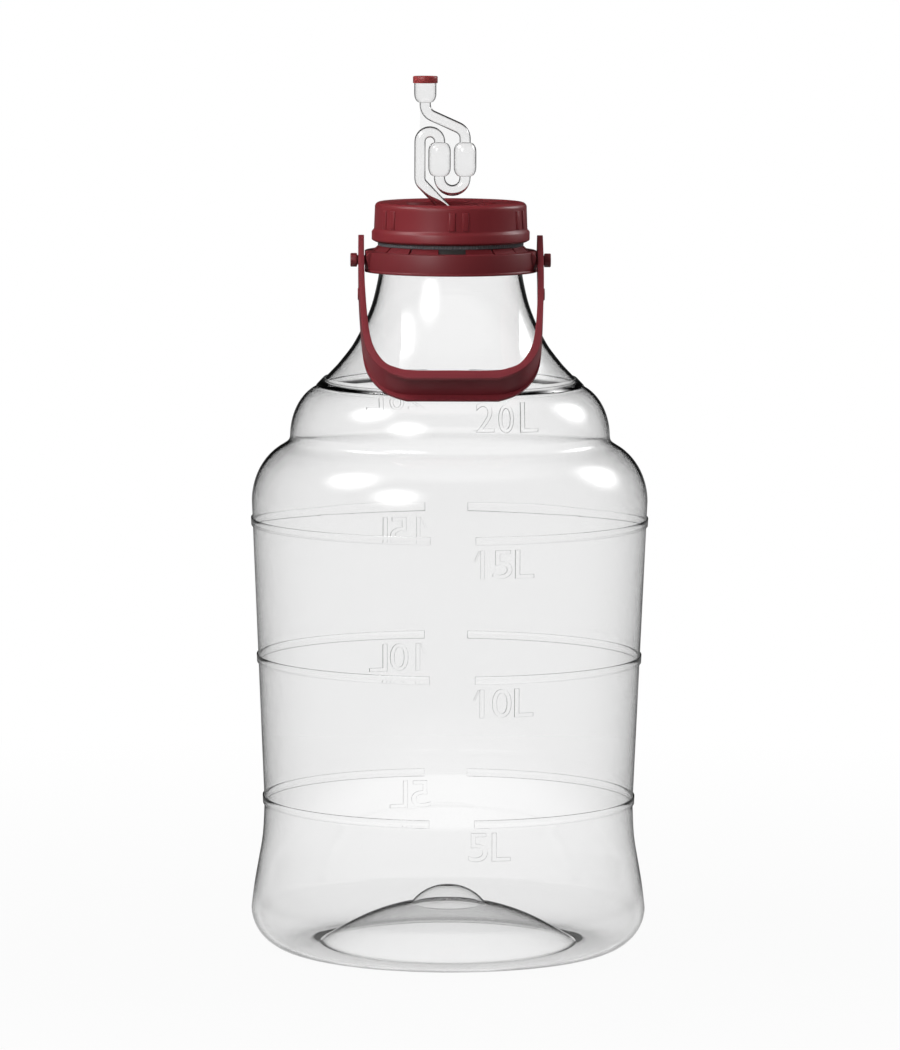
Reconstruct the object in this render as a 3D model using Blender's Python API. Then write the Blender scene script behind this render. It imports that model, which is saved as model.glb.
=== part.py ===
"""Clear 20 litre demijohn with a swinging handle, a screw cap and a twin-bulb airlock.

The origin is the middle of the ring that the bottle stands on. +Z is up and -Y is the front.
Every size is written in millimetres and becomes metres when its mesh is made.
"""
from math import asin, cos, degrees, pi, radians, sin, sqrt

import bmesh
import bpy
from mathutils import Matrix, Vector

MM = 0.001

# Bottle: skin thickness and turned segments
BOTTLE_WALL = 1.6
BOTTLE_SEGMENTS = 48

# Bottle base: standing ring, rounded heel, pushed-up base and the small dome on top of it
STANDING_RING_OUTER = 113.4
HEEL_HEIGHT = 28.5
HEEL_WIDTH = 23.0
PUSH_UP_SPHERE = 140.0
PUSH_UP_HEIGHT = 31.5
DOME_SPHERE = 30.4
DOME_HEIGHT = 42.7
NIB_RADIUS = 7.5

# Bottle body: drawn-in waist, then a slow taper out to the lower shoulder
WAIST = [(136.4, 28.5), (134.3, 45.0), (131.7, 60.0), (128.6, 79.0), (127.5, 101.3)]
TAPER_START = (127.6, 104.0)
TAPER_END = (136.1, 303.0)

# Two bulging shoulders, each a quarter of an ellipse as (centre radius, centre height, width, height)
LOWER_SHOULDER = (105.0, 310.0, 31.5, 45.4)
UPPER_SHOULDER = (83.0, 356.0, 27.0, 37.0)
LOWER_SHOULDER_END_DEG = 79.0
UPPER_SHOULDER_END_DEG = 69.0

# Neck: a straight cone, a hollow flare, the plain neck, the support ring and the mouth
CONE_END = (76.0, 407.6)
FLARE_RADIUS = 98.0
NECK_RADIUS = 49.0
NECK_START = 475.0
NECK_BORE = 45.2
SUPPORT_RING_RADIUS = 50.3
SUPPORT_RING = (487.4, 489.4)
FINISH_RADIUS = 47.4
MOUTH_HEIGHT = 511.4
MOUTH_EDGE = 0.6

# Litre bands: (lower edge, upper edge), broken at the front and back by one segment to each side
LITRE_BANDS = [(101.3, 106.7), (199.6, 205.0), (294.3, 299.7)]
BAND_PROUD = 1.2
TOP_BAND = (393.6, 401.0)
TOP_BAND_GAP_DEG = 7.0

# Collar that is clipped round the neck under the support ring and carries the handle
COLLAR_SEGMENTS = 48
COLLAR_TURN_DEG = 1.2
BAND_RADIUS = 59.3
BAND_BOTTOM = 469.8
BAND_TOP = 483.8
BAND_WALL = 2.4
BAND_LIP = 0.6
WEB_THICKNESS = 2.4
SLEEVE_BORE = 49.45
SLEEVE_RADIUS = 51.6
SLEEVE_BOTTOM = 472.0
FINGER_TOP = 487.1
FINGER_FOOT_RADIUS = 53.4
FINGERS_PER_SIDE = 7
NOTCH_HALF_DEG = 10.0
SLIT_WIDTH = 1.5
STIFFENERS = 12
STIFFENER_WIDTH = 1.6
BOSS_FACE = 59.0
BOSS_INNER = 52.4
BOSS_HALF_TOP = 23.0
BOSS_HALF_BOTTOM = 12.5
BOSS_TOP = 485.4
BOSS_BEVEL = (3.2, 4.2)

# Handle pivots: plain neck of each pin, then a button head that keeps the strap on
PIVOT_HEIGHT = 477.0
PIN_RADIUS = 3.3
PIN_HEAD_RADIUS = 4.75
PIN_HEAD = (64.9, 68.9)
PIN_SIDES = 20

# Handle: a strap that bends round into a channel-shaped grip; across, then distance from the pivots
HANDLE_WIDTH = 20.0
HANDLE_LEAN_DEG = 52.2
EAR_END = 20.5
EAR_ROUNDING = 9.6
STRAP_INSIDE = [(59.5, -20.5), (59.4, 15.0), (58.7, 45.0), (56.7, 80.0), (53.4, 102.0), (46.4, 118.0),
                (38.0, 124.3), (27.0, 127.1), (0.0, 127.2)]
STRAP_OUTSIDE = [(63.5, -20.5), (63.5, 15.0), (62.9, 45.0), (60.9, 84.0), (58.3, 103.9), (52.9, 117.2),
                 (45.6, 126.6), (39.0, 131.4), (31.0, 135.0)]
GRIP_OUTSIDE = 135.0
WEB_OUTSIDE = [(60.9, 84.0), (57.0, 104.0), (49.6, 119.2), (40.0, 127.0), (27.0, 129.8), (0.0, 129.9)]
FLANGE_THICKNESS = 2.2
KEYHOLE_PIN_RADIUS = 3.7
KEYHOLE_ENTRY_RADIUS = 5.3
KEYHOLE_ENTRY_OFFSET = 9.8
KEYHOLE_SLOT_HALF = 3.0

# Screw cap with pairs of grip ribs and a sunk middle that holds the airlock's grommet
CAP_SEGMENTS = 72
CAP_TURN_DEG = 5.0
CAP_BOTTOM = 489.8
CAP_TOP = 517.0
CAP_PLATE_UNDERSIDE = 513.6
CAP_BORE = 50.3
CAP_SKIRT_TOP_RADIUS = 52.2
CAP_SKIRT_LOW_RADIUS = 52.7
CAP_FLANGE_RADIUS = 54.3
CAP_FLANGE = (491.2, 497.0)
CAP_FLARE_TOP = 499.5
CAP_EDGE_ROUNDING = 3.2
CAP_RIB_TOP = 512.4
CAP_RIB_PROUD = 0.8
CAP_RIB_PAIRS = 6
CAP_RIB_SPREAD_DEG = 5.0
RECESS_TOP_RADIUS = 31.2
RECESS_FLOOR_RADIUS = 29.6
RECESS_FLOOR = 503.0
RECESS_WALL = 2.2
FLOOR_THICKNESS = 2.6
GROMMET_HOLE_RADIUS = 6.4

# Foam seal that the cap presses on the mouth, and the rubber grommet round the airlock's stem
SEAL_RADII = (44.6, 49.6)
SEAL_HEIGHTS = (511.7, 513.3)
GROMMET_BORE = 4.2
GROMMET_NECK = 6.0
GROMMET_FLANGES = (8.0, 8.6)
GROMMET_BOTTOM = 497.8
GROMMET_TOP = 505.6

# Airlock: one clear tube with a cup and two bulbs, in the XZ plane, and a thin web between its bends
TUBE_SIDES = 14
TUBE_RADIUS = 3.83
TUBE_WALL = 0.9
CUP_ACROSS = -17.8
CUP_RADIUS = 7.6
CUP_HEIGHTS = (585.1, 591.2, 601.4)
BULB_RADIUS = 7.75
BULB_HEIGHTS = (534.6, 557.6)
BULB_ROUND = 6.1
BEND_STEP_DEG = 24.0
OFFSET_BEND = 8.3
OFFSET_SLOPE_DEG = 24.3
OFFSET_UPPER = 583.56
OFFSET_LOWER = 560.5
TRAP_CENTRE = (0.9, 533.6)
TRAP_BEND = 8.75
RETURN_BEND = 6.72
RETURN_HEIGHT = 558.3
FOOT_BEND = 6.0
FOOT_SLOPE_DEG = 46.5
FOOT_UPPER = 533.3
FOOT_LOWER = 506.1
STEM_END = 478.0
WEB_HALF_THICKNESS = 0.5
WEB_CORNERS = [(-21.3, 586.0), (-21.3, 530.5), (-7.0, 515.5), (1.0, 524.0), (9.6, 534.0), (9.6, 561.0),
               (8.0, 566.3), (-13.5, 576.2), (-17.8, 583.0), (-17.8, 586.0)]

# Push-on dust cap on the airlock's cup
DUST_CAP_RADIUS = 8.5
DUST_CAP_BORE = 7.95
DUST_CAP_HEIGHTS = (598.5, 603.2)
DUST_CAP_TOP = 1.0
DUST_CAP_SEGMENTS = 32

SMALL_RING_SEGMENTS = 24
SEAL_SEGMENTS = 48
MERGE_DISTANCE = 1e-6
SMOOTH_ANGLE_DEG = 35.0


def clear_scene():
    for item in list(bpy.data.objects):
        bpy.data.objects.remove(item, do_unlink=True)


def plastic(name, colour, roughness, transmission=0.0):
    """A moulded plastic or rubber, clear when transmission is above zero."""
    material = bpy.data.materials.new(name)
    material.use_nodes = True
    shader = material.node_tree.nodes["Principled BSDF"]
    shader.inputs["Base Color"].default_value = (*colour, 1.0)
    shader.inputs["Roughness"].default_value = roughness
    shader.inputs["Metallic"].default_value = 0.0
    shader.inputs["Transmission Weight"].default_value = transmission
    material.diffuse_color = (*colour, 1.0 - 0.7 * transmission)
    return material


def finish_object(name, builder, material=None):
    """Turn a bmesh into a smooth-shaded object in the scene."""
    bmesh.ops.recalc_face_normals(builder, faces=builder.faces)
    if builder.calc_volume(signed=True) < 0.0:
        bmesh.ops.reverse_faces(builder, faces=builder.faces)
    mesh = bpy.data.meshes.new(name)
    builder.to_mesh(mesh)
    builder.free()
    mesh.shade_smooth()
    mesh.set_sharp_from_angle(angle=radians(SMOOTH_ANGLE_DEG))
    item = bpy.data.objects.new(name, mesh)
    bpy.context.scene.collection.objects.link(item)
    if material:
        mesh.materials.append(material)
    return item


def make_guide(item):
    """Mark an object that only shapes another one."""
    item.hide_render = True
    item.display_type = "WIRE"
    return item


def combine(target, operand, operation):
    """Add or cut with a Boolean modifier that stays on the target."""
    step = target.modifiers.new(operand.name, "BOOLEAN")
    step.operation = operation
    step.solver = "EXACT"
    step.object = make_guide(operand)


def turned_mesh(outline, segments, first_angle_deg=-90.0):
    """Spin (radius, height) points into a closed solid; a point on the axis closes a pole."""
    builder = bmesh.new()
    start = Matrix.Rotation(radians(first_angle_deg), 3, "Z")
    corners = [builder.verts.new(start @ Vector((radius * MM, 0.0, height * MM))) for radius, height in outline]
    edges = [builder.edges.new(pair) for pair in zip(corners, corners[1:])]
    if outline[0][0] > 0.0:
        edges.append(builder.edges.new((corners[-1], corners[0])))
    bmesh.ops.spin(builder, geom=corners + edges, cent=(0.0, 0.0, 0.0), axis=(0.0, 0.0, 1.0),
                   angle=2.0 * pi, steps=segments, use_merge=True)
    bmesh.ops.remove_doubles(builder, verts=builder.verts, dist=MERGE_DISTANCE)
    bmesh.ops.recalc_face_normals(builder, faces=builder.faces)
    return builder


def raise_faces(builder, faces, proud, lift=0.0):
    """Push a patch of a turned surface outwards, with walls all round it."""
    patch = bmesh.ops.extrude_face_region(builder, geom=faces)["geom"]
    bmesh.ops.delete(builder, geom=faces, context="FACES")
    for corner in [part for part in patch if isinstance(part, bmesh.types.BMVert)]:
        outwards = Vector((corner.co.x, corner.co.y, 0.0)).normalized()
        corner.co += outwards * proud * MM
        corner.co.z += lift * MM


def band_faces(builder, low, high, inner_limit, wanted):
    """Faces of the outer skin between two heights whose middle angle, from the front, is wanted."""
    found = []
    for face in builder.faces:
        heights = [corner.co.z / MM for corner in face.verts]
        middle = face.calc_center_median()
        radius = sqrt(middle.x ** 2 + middle.y ** 2) / MM
        angle = degrees(Vector((0.0, -1.0)).angle_signed(Vector((middle.x, middle.y)), 0.0))
        inside = min(heights) > low - 0.01 and max(heights) < high + 0.01
        if inside and radius > inner_limit and wanted(angle):
            found.append(face)
    return found


def prism(outline, low, high):
    """A straight prism: (x, y) corners in millimetres, from one height to another."""
    builder = bmesh.new()
    corners = [builder.verts.new((x * MM, y * MM, low * MM)) for x, y in outline]
    base = builder.faces.new(corners)
    top = bmesh.ops.extrude_face_region(builder, geom=[base], use_keep_orig=True)["geom"]
    lifted = [part for part in top if isinstance(part, bmesh.types.BMVert)]
    bmesh.ops.translate(builder, verts=lifted, vec=(0.0, 0.0, (high - low) * MM))
    bmesh.ops.recalc_face_normals(builder, faces=builder.faces)
    return builder


def merge_builders(parts):
    """Put several separate solids into one mesh."""
    whole = bmesh.new()
    for part in parts:
        mesh = bpy.data.meshes.new("loose")
        part.to_mesh(mesh)
        part.free()
        whole.from_mesh(mesh)
        bpy.data.meshes.remove(mesh)
    return whole


def smooth_curve(stations, steps):
    """Points on a Catmull-Rom curve through the stations, with straight-running ends."""
    padded = [stations[0]] + list(stations) + [stations[-1]]
    points = []
    for index in range(1, len(padded) - 2):
        before, here, there, after = (Vector(padded[index + offset]) for offset in (-1, 0, 1, 2))
        for step in range(steps):
            t = step / steps
            points.append(tuple(0.5 * (2.0 * here + (there - before) * t
                                       + (2.0 * before - 5.0 * here + 4.0 * there - after) * t ** 2
                                       + (3.0 * here - before - 3.0 * there + after) * t ** 3)))
    points.append(tuple(stations[-1]))
    return points


def ellipse_arc(centre, semi_axes, start_deg, end_deg, steps):
    """Points on an ellipse, both ends included."""
    angles = [radians(start_deg + (end_deg - start_deg) * step / steps) for step in range(steps + 1)]
    return [(centre[0] + semi_axes[0] * cos(angle), centre[1] + semi_axes[1] * sin(angle)) for angle in angles]


def sphere_crossing(first, second):
    """Radius and height where two spheres centred on the axis, given as (height, radius), cross."""
    height = (first[1] ** 2 - second[1] ** 2 + second[0] ** 2 - first[0] ** 2) / (2.0 * (second[0] - first[0]))
    return sqrt(first[1] ** 2 - (height - first[0]) ** 2), height


def base_outline(depth, arc_steps):
    """Base of the skin that lies a given depth inside the bottle, from the axis to the heel's top."""
    dome = (DOME_HEIGHT - DOME_SPHERE, DOME_SPHERE + depth)
    push_up = (PUSH_UP_HEIGHT - PUSH_UP_SPHERE, PUSH_UP_SPHERE + depth)
    fold_radius, _ = sphere_crossing(dome, push_up)
    ring_inner = sqrt(push_up[1] ** 2 - (depth - push_up[0]) ** 2)
    nib_height = dome[0] + sqrt(dome[1] ** 2 - NIB_RADIUS ** 2)
    outline = [(0.0, nib_height)]
    for start, end, sphere in ((NIB_RADIUS, fold_radius, dome), (fold_radius, ring_inner, push_up)):
        first, last = asin(start / sphere[1]), asin(end / sphere[1])
        for step in range(arc_steps):
            angle = first + (last - first) * step / arc_steps
            outline.append((sphere[1] * sin(angle), sphere[0] + sphere[1] * cos(angle)))
    outline.append((ring_inner, depth))
    heel = (HEEL_WIDTH - depth, HEEL_HEIGHT - depth)
    return outline + ellipse_arc((STANDING_RING_OUTER, HEEL_HEIGHT), heel, -90.0, 0.0, arc_steps + 1)


def shoulder_outline(depth, arc_steps):
    """Both shoulders and the neck's flare, up to where the plain neck starts."""
    outline = []
    ends = (LOWER_SHOULDER_END_DEG, UPPER_SHOULDER_END_DEG)
    for (radius, height, width, rise), end in zip((LOWER_SHOULDER, UPPER_SHOULDER), ends):
        outline += ellipse_arc((radius, height), (width - depth, rise - depth), 0.0, end, arc_steps)
    fall = NECK_START - CONE_END[1]
    steepest = degrees(asin(fall / FLARE_RADIUS))
    flare = FLARE_RADIUS + depth
    centre = (NECK_RADIUS + FLARE_RADIUS, NECK_START)
    return outline, ellipse_arc(centre, (flare, flare), 180.0 + steepest, 180.0, arc_steps)


def top_band_point(height):
    """Radius of the cone between the upper shoulder and the flare, at a height."""
    radius, centre_height, width, rise = UPPER_SHOULDER
    end = radians(UPPER_SHOULDER_END_DEG)
    foot = (radius + width * cos(end), centre_height + rise * sin(end))
    share = (height - foot[1]) / (CONE_END[1] - foot[1])
    return foot[0] + (CONE_END[0] - foot[0]) * share


def taper_radius(height):
    share = (height - TAPER_START[1]) / (TAPER_END[1] - TAPER_START[1])
    return TAPER_START[0] + (TAPER_END[0] - TAPER_START[0]) * share


def bottle(material):
    """Blown bottle: one skin of even thickness, with raised litre bands and a ring to hold the collar."""
    outer = base_outline(0.0, 3)
    outer += WAIST[1:]
    band_edges = [height for band in LITRE_BANDS for height in band][1:]
    outer += [(taper_radius(height), height) for height in band_edges]
    shoulders, flare = shoulder_outline(0.0, 5)
    outer += shoulders
    outer += [(top_band_point(height), height) for height in TOP_BAND]
    outer += flare
    ring_low, ring_high = SUPPORT_RING
    outer += [(NECK_RADIUS, ring_low), (SUPPORT_RING_RADIUS, ring_low), (SUPPORT_RING_RADIUS, ring_high),
              (FINISH_RADIUS, ring_high), (FINISH_RADIUS, MOUTH_HEIGHT - MOUTH_EDGE),
              (FINISH_RADIUS - MOUTH_EDGE, MOUTH_HEIGHT)]

    inner = base_outline(BOTTLE_WALL, 2)
    inner += [(radius - BOTTLE_WALL, height) for radius, height in WAIST[1::2] + [WAIST[-1], TAPER_END]]
    shoulders, flare = shoulder_outline(BOTTLE_WALL, 3)
    inner += shoulders + flare
    inner += [(NECK_BORE, ring_low), (NECK_BORE, MOUTH_HEIGHT)]

    builder = turned_mesh(outer + inner[::-1], BOTTLE_SEGMENTS)
    one_segment = 360.0 / BOTTLE_SEGMENTS
    outside_gap = lambda angle: one_segment < abs(angle) < 180.0 - one_segment
    for low, high in LITRE_BANDS:
        raise_faces(builder, band_faces(builder, low, high, NECK_RADIUS, outside_gap), BAND_PROUD)
    raise_faces(builder, band_faces(builder, *TOP_BAND, NECK_RADIUS, outside_gap), BAND_PROUD, BAND_PROUD)
    return finish_object("bottle", builder, material)


def collar_blank(material):
    """Band, web and clip sleeve of the collar as one turned section, open underneath."""
    band_inside = BAND_RADIUS - BAND_WALL
    web_underside = BAND_TOP - WEB_THICKNESS
    outline = [
        (SLEEVE_BORE, SLEEVE_BOTTOM), (SLEEVE_RADIUS, SLEEVE_BOTTOM), (SLEEVE_RADIUS, web_underside),
        (band_inside, web_underside), (band_inside, BAND_BOTTOM), (BAND_RADIUS + BAND_LIP, BAND_BOTTOM),
        (BAND_RADIUS + BAND_LIP, BAND_BOTTOM + 2.0 * BAND_LIP), (BAND_RADIUS, BAND_BOTTOM + 3.0 * BAND_LIP),
        (BAND_RADIUS, BAND_TOP - BAND_LIP), (BAND_RADIUS - BAND_LIP, BAND_TOP),
        (FINGER_FOOT_RADIUS, BAND_TOP), (SLEEVE_BORE + BAND_LIP, FINGER_TOP), (SLEEVE_BORE, FINGER_TOP)]
    return finish_object("handle_collar", turned_mesh(outline, COLLAR_SEGMENTS), material)


def collar_cuts():
    """Slits that part the clip fingers, and the open notch at the front and the back."""
    cuts = []
    finger = (180.0 - 2.0 * NOTCH_HALF_DEG) / FINGERS_PER_SIDE
    for side in (-1.0, 1.0):
        for index in range(1, FINGERS_PER_SIDE):
            turn = side * (NOTCH_HALF_DEG + finger * index)
            slit = prism([(-SLIT_WIDTH / 2.0, -FINGER_FOOT_RADIUS), (SLIT_WIDTH / 2.0, -FINGER_FOOT_RADIUS),
                          (SLIT_WIDTH / 2.0, 2.0 - SLEEVE_BORE), (-SLIT_WIDTH / 2.0, 2.0 - SLEEVE_BORE)],
                         BAND_TOP + 0.2, FINGER_TOP + 1.0)
            slit.transform(Matrix.Rotation(radians(turn), 4, "Z"))
            cuts.append(slit)
    half_width = FINGER_FOOT_RADIUS * sin(radians(NOTCH_HALF_DEG))
    for side in (-1.0, 1.0):
        near, far = side * (SLEEVE_BORE - 2.0), side * (FINGER_FOOT_RADIUS + 1.0)
        cuts.append(prism([(-half_width, near), (half_width, near), (half_width, far), (-half_width, far)],
                          BAND_TOP + 0.1, FINGER_TOP + 1.0))
    return finish_object("collar_cuts", merge_builders(cuts))


def collar_flats():
    """Cutters that bring the round band in line with the flat faces of the bosses."""
    blocks = []
    for side in (-1.0, 1.0):
        near, far = side * BOSS_FACE, side * (BAND_RADIUS + 3.0)
        blocks.append(prism([(near, -BOSS_HALF_BOTTOM), (far, -BOSS_HALF_BOTTOM), (far, BOSS_HALF_BOTTOM),
                             (near, BOSS_HALF_BOTTOM)], BAND_BOTTOM - 1.0, BAND_TOP + 1.0))
    return finish_object("collar_flats", merge_builders(blocks))


def collar_bosses():
    """Flat-faced blocks at the two sides, wider at the top, with the outer top edge sloped off."""
    blocks = []
    for side in (-1.0, 1.0):
        builder = bmesh.new()
        corners = []
        for half, height in ((BOSS_HALF_BOTTOM, BAND_BOTTOM + 0.4), (BOSS_HALF_TOP, BOSS_TOP)):
            for x, y in ((BOSS_INNER, -half), (BOSS_FACE, -half), (BOSS_FACE, half), (BOSS_INNER, half)):
                corners.append(builder.verts.new((side * x * MM, y * MM, height * MM)))
        bmesh.ops.convex_hull(builder, input=corners)
        slope = Vector((side * BOSS_BEVEL[1], 0.0, BOSS_BEVEL[0]))
        edge = Vector((side * BOSS_FACE * MM, 0.0, (BOSS_TOP - BOSS_BEVEL[1]) * MM))
        cut = bmesh.ops.bisect_plane(builder, geom=builder.verts[:] + builder.edges[:] + builder.faces[:],
                                     plane_co=edge, plane_no=slope, clear_outer=True)["geom_cut"]
        rim = [part for part in cut if isinstance(part, bmesh.types.BMEdge)]
        bmesh.ops.contextual_create(builder, geom=rim)
        bmesh.ops.recalc_face_normals(builder, faces=builder.faces)
        blocks.append(builder)
    return finish_object("collar_bosses", merge_builders(blocks))


def collar_pins():
    """Two pivot pins with button heads, turned about the X axis."""
    outline = [(0.0, BOSS_INNER + 3.0), (PIN_RADIUS, BOSS_INNER + 3.0), (PIN_RADIUS, PIN_HEAD[0]),
               (PIN_HEAD_RADIUS, PIN_HEAD[0]), (PIN_HEAD_RADIUS, PIN_HEAD[1] - 0.5),
               (PIN_HEAD_RADIUS - 0.5, PIN_HEAD[1]), (0.0, PIN_HEAD[1])]
    pins = []
    for side in (-1.0, 1.0):
        pin = turned_mesh(outline, PIN_SIDES)
        place = Matrix.Translation((0.0, 0.0, PIVOT_HEIGHT * MM)) @ Matrix.Rotation(side * pi / 2.0, 4, "Y")
        pin.transform(place)
        pins.append(pin)
    return finish_object("collar_pins", merge_builders(pins))


def collar_stiffeners():
    """Radial ribs that tie the sleeve to the band inside the collar's underside."""
    ribs = []
    for index in range(STIFFENERS):
        half = STIFFENER_WIDTH / 2.0
        rib = prism([(SLEEVE_RADIUS - 0.8, -half), (BAND_RADIUS - BAND_WALL + 0.8, -half),
                     (BAND_RADIUS - BAND_WALL + 0.8, half), (SLEEVE_RADIUS - 0.8, half)],
                    SLEEVE_BOTTOM + 1.0, BAND_TOP - WEB_THICKNESS + 0.8)
        rib.transform(Matrix.Rotation(2.0 * pi * (index + 0.5) / STIFFENERS, 4, "Z"))
        ribs.append(rib)
    return finish_object("collar_stiffeners", merge_builders(ribs))


def handle_collar(material, axis):
    """The whole collar: turned blank, stiffeners, bosses and pins, less the slits and notches."""
    collar = collar_blank(material)
    flats = collar_flats()
    flats.parent = axis
    combine(collar, flats, "DIFFERENCE")
    for operand in (collar_stiffeners(), collar_bosses(), collar_pins()):
        operand.parent = axis
        combine(collar, operand, "UNION")
    cuts = collar_cuts()
    cuts.parent = axis
    combine(collar, cuts, "DIFFERENCE")
    collar.parent = axis
    return collar


def both_sides(half):
    """Complete a loop outline from its right half, whose last point is on the middle line."""
    return half + [(-x, y) for x, y in reversed(half) if x > 0.0]


def keyhole():
    """Outline of a pin hole joined by a narrow slot to the hole that the pin's head goes in through."""
    pin_angle = degrees(asin(KEYHOLE_SLOT_HALF / KEYHOLE_PIN_RADIUS))
    entry_angle = degrees(asin(KEYHOLE_SLOT_HALF / KEYHOLE_ENTRY_RADIUS))
    small = ellipse_arc((0.0, 0.0), (KEYHOLE_PIN_RADIUS,) * 2, pin_angle, 360.0 - pin_angle, 12)
    large = ellipse_arc((KEYHOLE_ENTRY_OFFSET, 0.0), (KEYHOLE_ENTRY_RADIUS,) * 2,
                        entry_angle - 180.0, 180.0 - entry_angle, 12)
    return small + large


def bail_handle(material, axis):
    """Strap handle drawn hanging straight down from its pivots, then leaned on the shoulder."""
    inside = both_sides(smooth_curve(STRAP_INSIDE, 3))
    outside = both_sides(smooth_curve(STRAP_OUTSIDE, 3) + [(0.0, GRIP_OUTSIDE)])
    half_width = HANDLE_WIDTH / 2.0
    strap = prism(inside + outside[::-1], -half_width, half_width)
    strap.edges.ensure_lookup_table()
    corners = []
    for edge in strap.edges:
        ends = [corner.co / MM for corner in edge.verts]
        at_end = all(abs(end.y + EAR_END) < 0.01 for end in ends)
        if at_end and abs(ends[0].z - ends[1].z) < 0.01:
            corners.append(edge)
    bmesh.ops.bevel(strap, geom=corners, offset=EAR_ROUNDING * MM, offset_type="OFFSET", segments=5,
                    profile=0.5, affect="EDGES", material=-1)
    handle = finish_object("bail_handle", strap, material)

    web = both_sides(smooth_curve(WEB_OUTSIDE, 3))
    beyond = [(-75.0, 84.0), (-75.0, 145.0), (75.0, 145.0), (75.0, 84.0)]
    trough_half = half_width - FLANGE_THICKNESS
    trough = finish_object("grip_trough", prism(web + beyond, -trough_half, trough_half))
    combine(handle, trough, "DIFFERENCE")

    slot = prism(keyhole(), -80.0, 80.0)
    turn = Matrix(((0, 0, 1, 0), (1, 0, 0, 0), (0, 1, 0, 0), (0, 0, 0, 1)))
    slot.transform(turn)
    combine(handle, finish_object("pin_keyholes", slot), "DIFFERENCE")

    # The outline's Y runs from the pivots to the grip, so it is turned to point down and forwards.
    lean = Matrix.Rotation(radians(-HANDLE_LEAN_DEG), 4, "X") @ Matrix.Rotation(-pi / 2.0, 4, "X")
    for item in (handle, trough, bpy.data.objects["pin_keyholes"]):
        item.matrix_world = Matrix.Translation((0.0, 0.0, PIVOT_HEIGHT * MM)) @ lean
        item.parent = axis
    return handle


def screw_cap(material):
    """Screw cap: ribbed skirt, top plate and a sunk cup with a hole for the grommet."""
    rounding = ellipse_arc((CAP_SKIRT_TOP_RADIUS - CAP_EDGE_ROUNDING, CAP_TOP - CAP_EDGE_ROUNDING),
                           (CAP_EDGE_ROUNDING,) * 2, 0.0, 90.0, 3)
    plate_top = CAP_TOP - 0.7
    under_floor = RECESS_FLOOR - FLOOR_THICKNESS
    outline = [
        (CAP_BORE, CAP_BOTTOM), (CAP_BORE + 1.6, CAP_BOTTOM), (CAP_FLANGE_RADIUS, CAP_FLANGE[0]),
        (CAP_FLANGE_RADIUS, CAP_FLANGE[1]), (CAP_SKIRT_LOW_RADIUS, CAP_FLARE_TOP),
        (CAP_SKIRT_TOP_RADIUS, CAP_RIB_TOP)]
    outline += rounding
    outline += [
        (47.2, CAP_TOP), (46.4, plate_top), (RECESS_TOP_RADIUS, plate_top),
        (RECESS_FLOOR_RADIUS, RECESS_FLOOR), (GROMMET_HOLE_RADIUS, RECESS_FLOOR),
        (GROMMET_HOLE_RADIUS, under_floor), (RECESS_FLOOR_RADIUS + RECESS_WALL, under_floor),
        (RECESS_TOP_RADIUS + RECESS_WALL, CAP_PLATE_UNDERSIDE), (CAP_BORE, CAP_PLATE_UNDERSIDE)]
    half_segment = 180.0 / CAP_SEGMENTS
    builder = turned_mesh(outline, CAP_SEGMENTS, -90.0 - half_segment)

    def on_a_rib(angle):
        for pair in range(CAP_RIB_PAIRS):
            for side in (-1.0, 1.0):
                rib = CAP_TURN_DEG + 360.0 * pair / CAP_RIB_PAIRS + side * CAP_RIB_SPREAD_DEG
                if abs((angle - rib + 180.0) % 360.0 - 180.0) < half_segment:
                    return True
        return False

    ribs = band_faces(builder, CAP_FLARE_TOP, CAP_RIB_TOP, CAP_BORE + 0.5, on_a_rib)
    for face in ribs:
        raise_faces(builder, [face], CAP_RIB_PROUD)
    return finish_object("screw_cap", builder, material)


def cap_gasket(material):
    """Flat foam ring between the cap's plate and the bottle's mouth."""
    (inner, outer), (low, high) = SEAL_RADII, SEAL_HEIGHTS
    outline = [(inner, low), (outer, low), (outer, high), (inner, high)]
    return finish_object("cap_gasket", turned_mesh(outline, SEAL_SEGMENTS), material)


def airlock_grommet(material):
    """Rubber ring with a groove that grips the edge of the cap's hole."""
    lower_flange, upper_flange = GROMMET_FLANGES
    groove = (RECESS_FLOOR - FLOOR_THICKNESS - 0.3, RECESS_FLOOR + 0.3)
    outline = [(GROMMET_BORE, GROMMET_BOTTOM), (lower_flange, GROMMET_BOTTOM), (lower_flange, groove[0]),
               (GROMMET_NECK, groove[0]), (GROMMET_NECK, groove[1]), (upper_flange, groove[1]),
               (upper_flange - 0.8, GROMMET_TOP), (GROMMET_BORE, GROMMET_TOP)]
    return finish_object("airlock_grommet", turned_mesh(outline, SMALL_RING_SEGMENTS), material)


def leg(across, heading_deg, rows):
    """Stations on an upright run of the tube, from (height, radius) rows."""
    return [(across, height, heading_deg, radius) for height, radius in rows]


def bend(centre, bend_radius, start_deg, end_deg, radius):
    """Stations round a bend; the angles are those of the centre line seen from the bend's centre."""
    steps = max(2, round(abs(end_deg - start_deg) / BEND_STEP_DEG))
    turn = 90.0 if end_deg > start_deg else -90.0
    stations = []
    for step in range(steps + 1):
        angle = start_deg + (end_deg - start_deg) * step / steps
        across = centre[0] + bend_radius * cos(radians(angle))
        height = centre[1] + bend_radius * sin(radians(angle))
        stations.append((across, height, angle + turn, radius))
    return stations


def rounding(edge, straight, narrow, wide):
    """Rows (height, radius) that swell from the tube at one height to full width at another."""
    angles = [pi / 2.0 * step / 3.0 for step in range(4)]
    return [(edge + (straight - edge) * (1.0 - cos(angle)), narrow + (wide - narrow) * sin(angle))
            for angle in angles]


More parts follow.
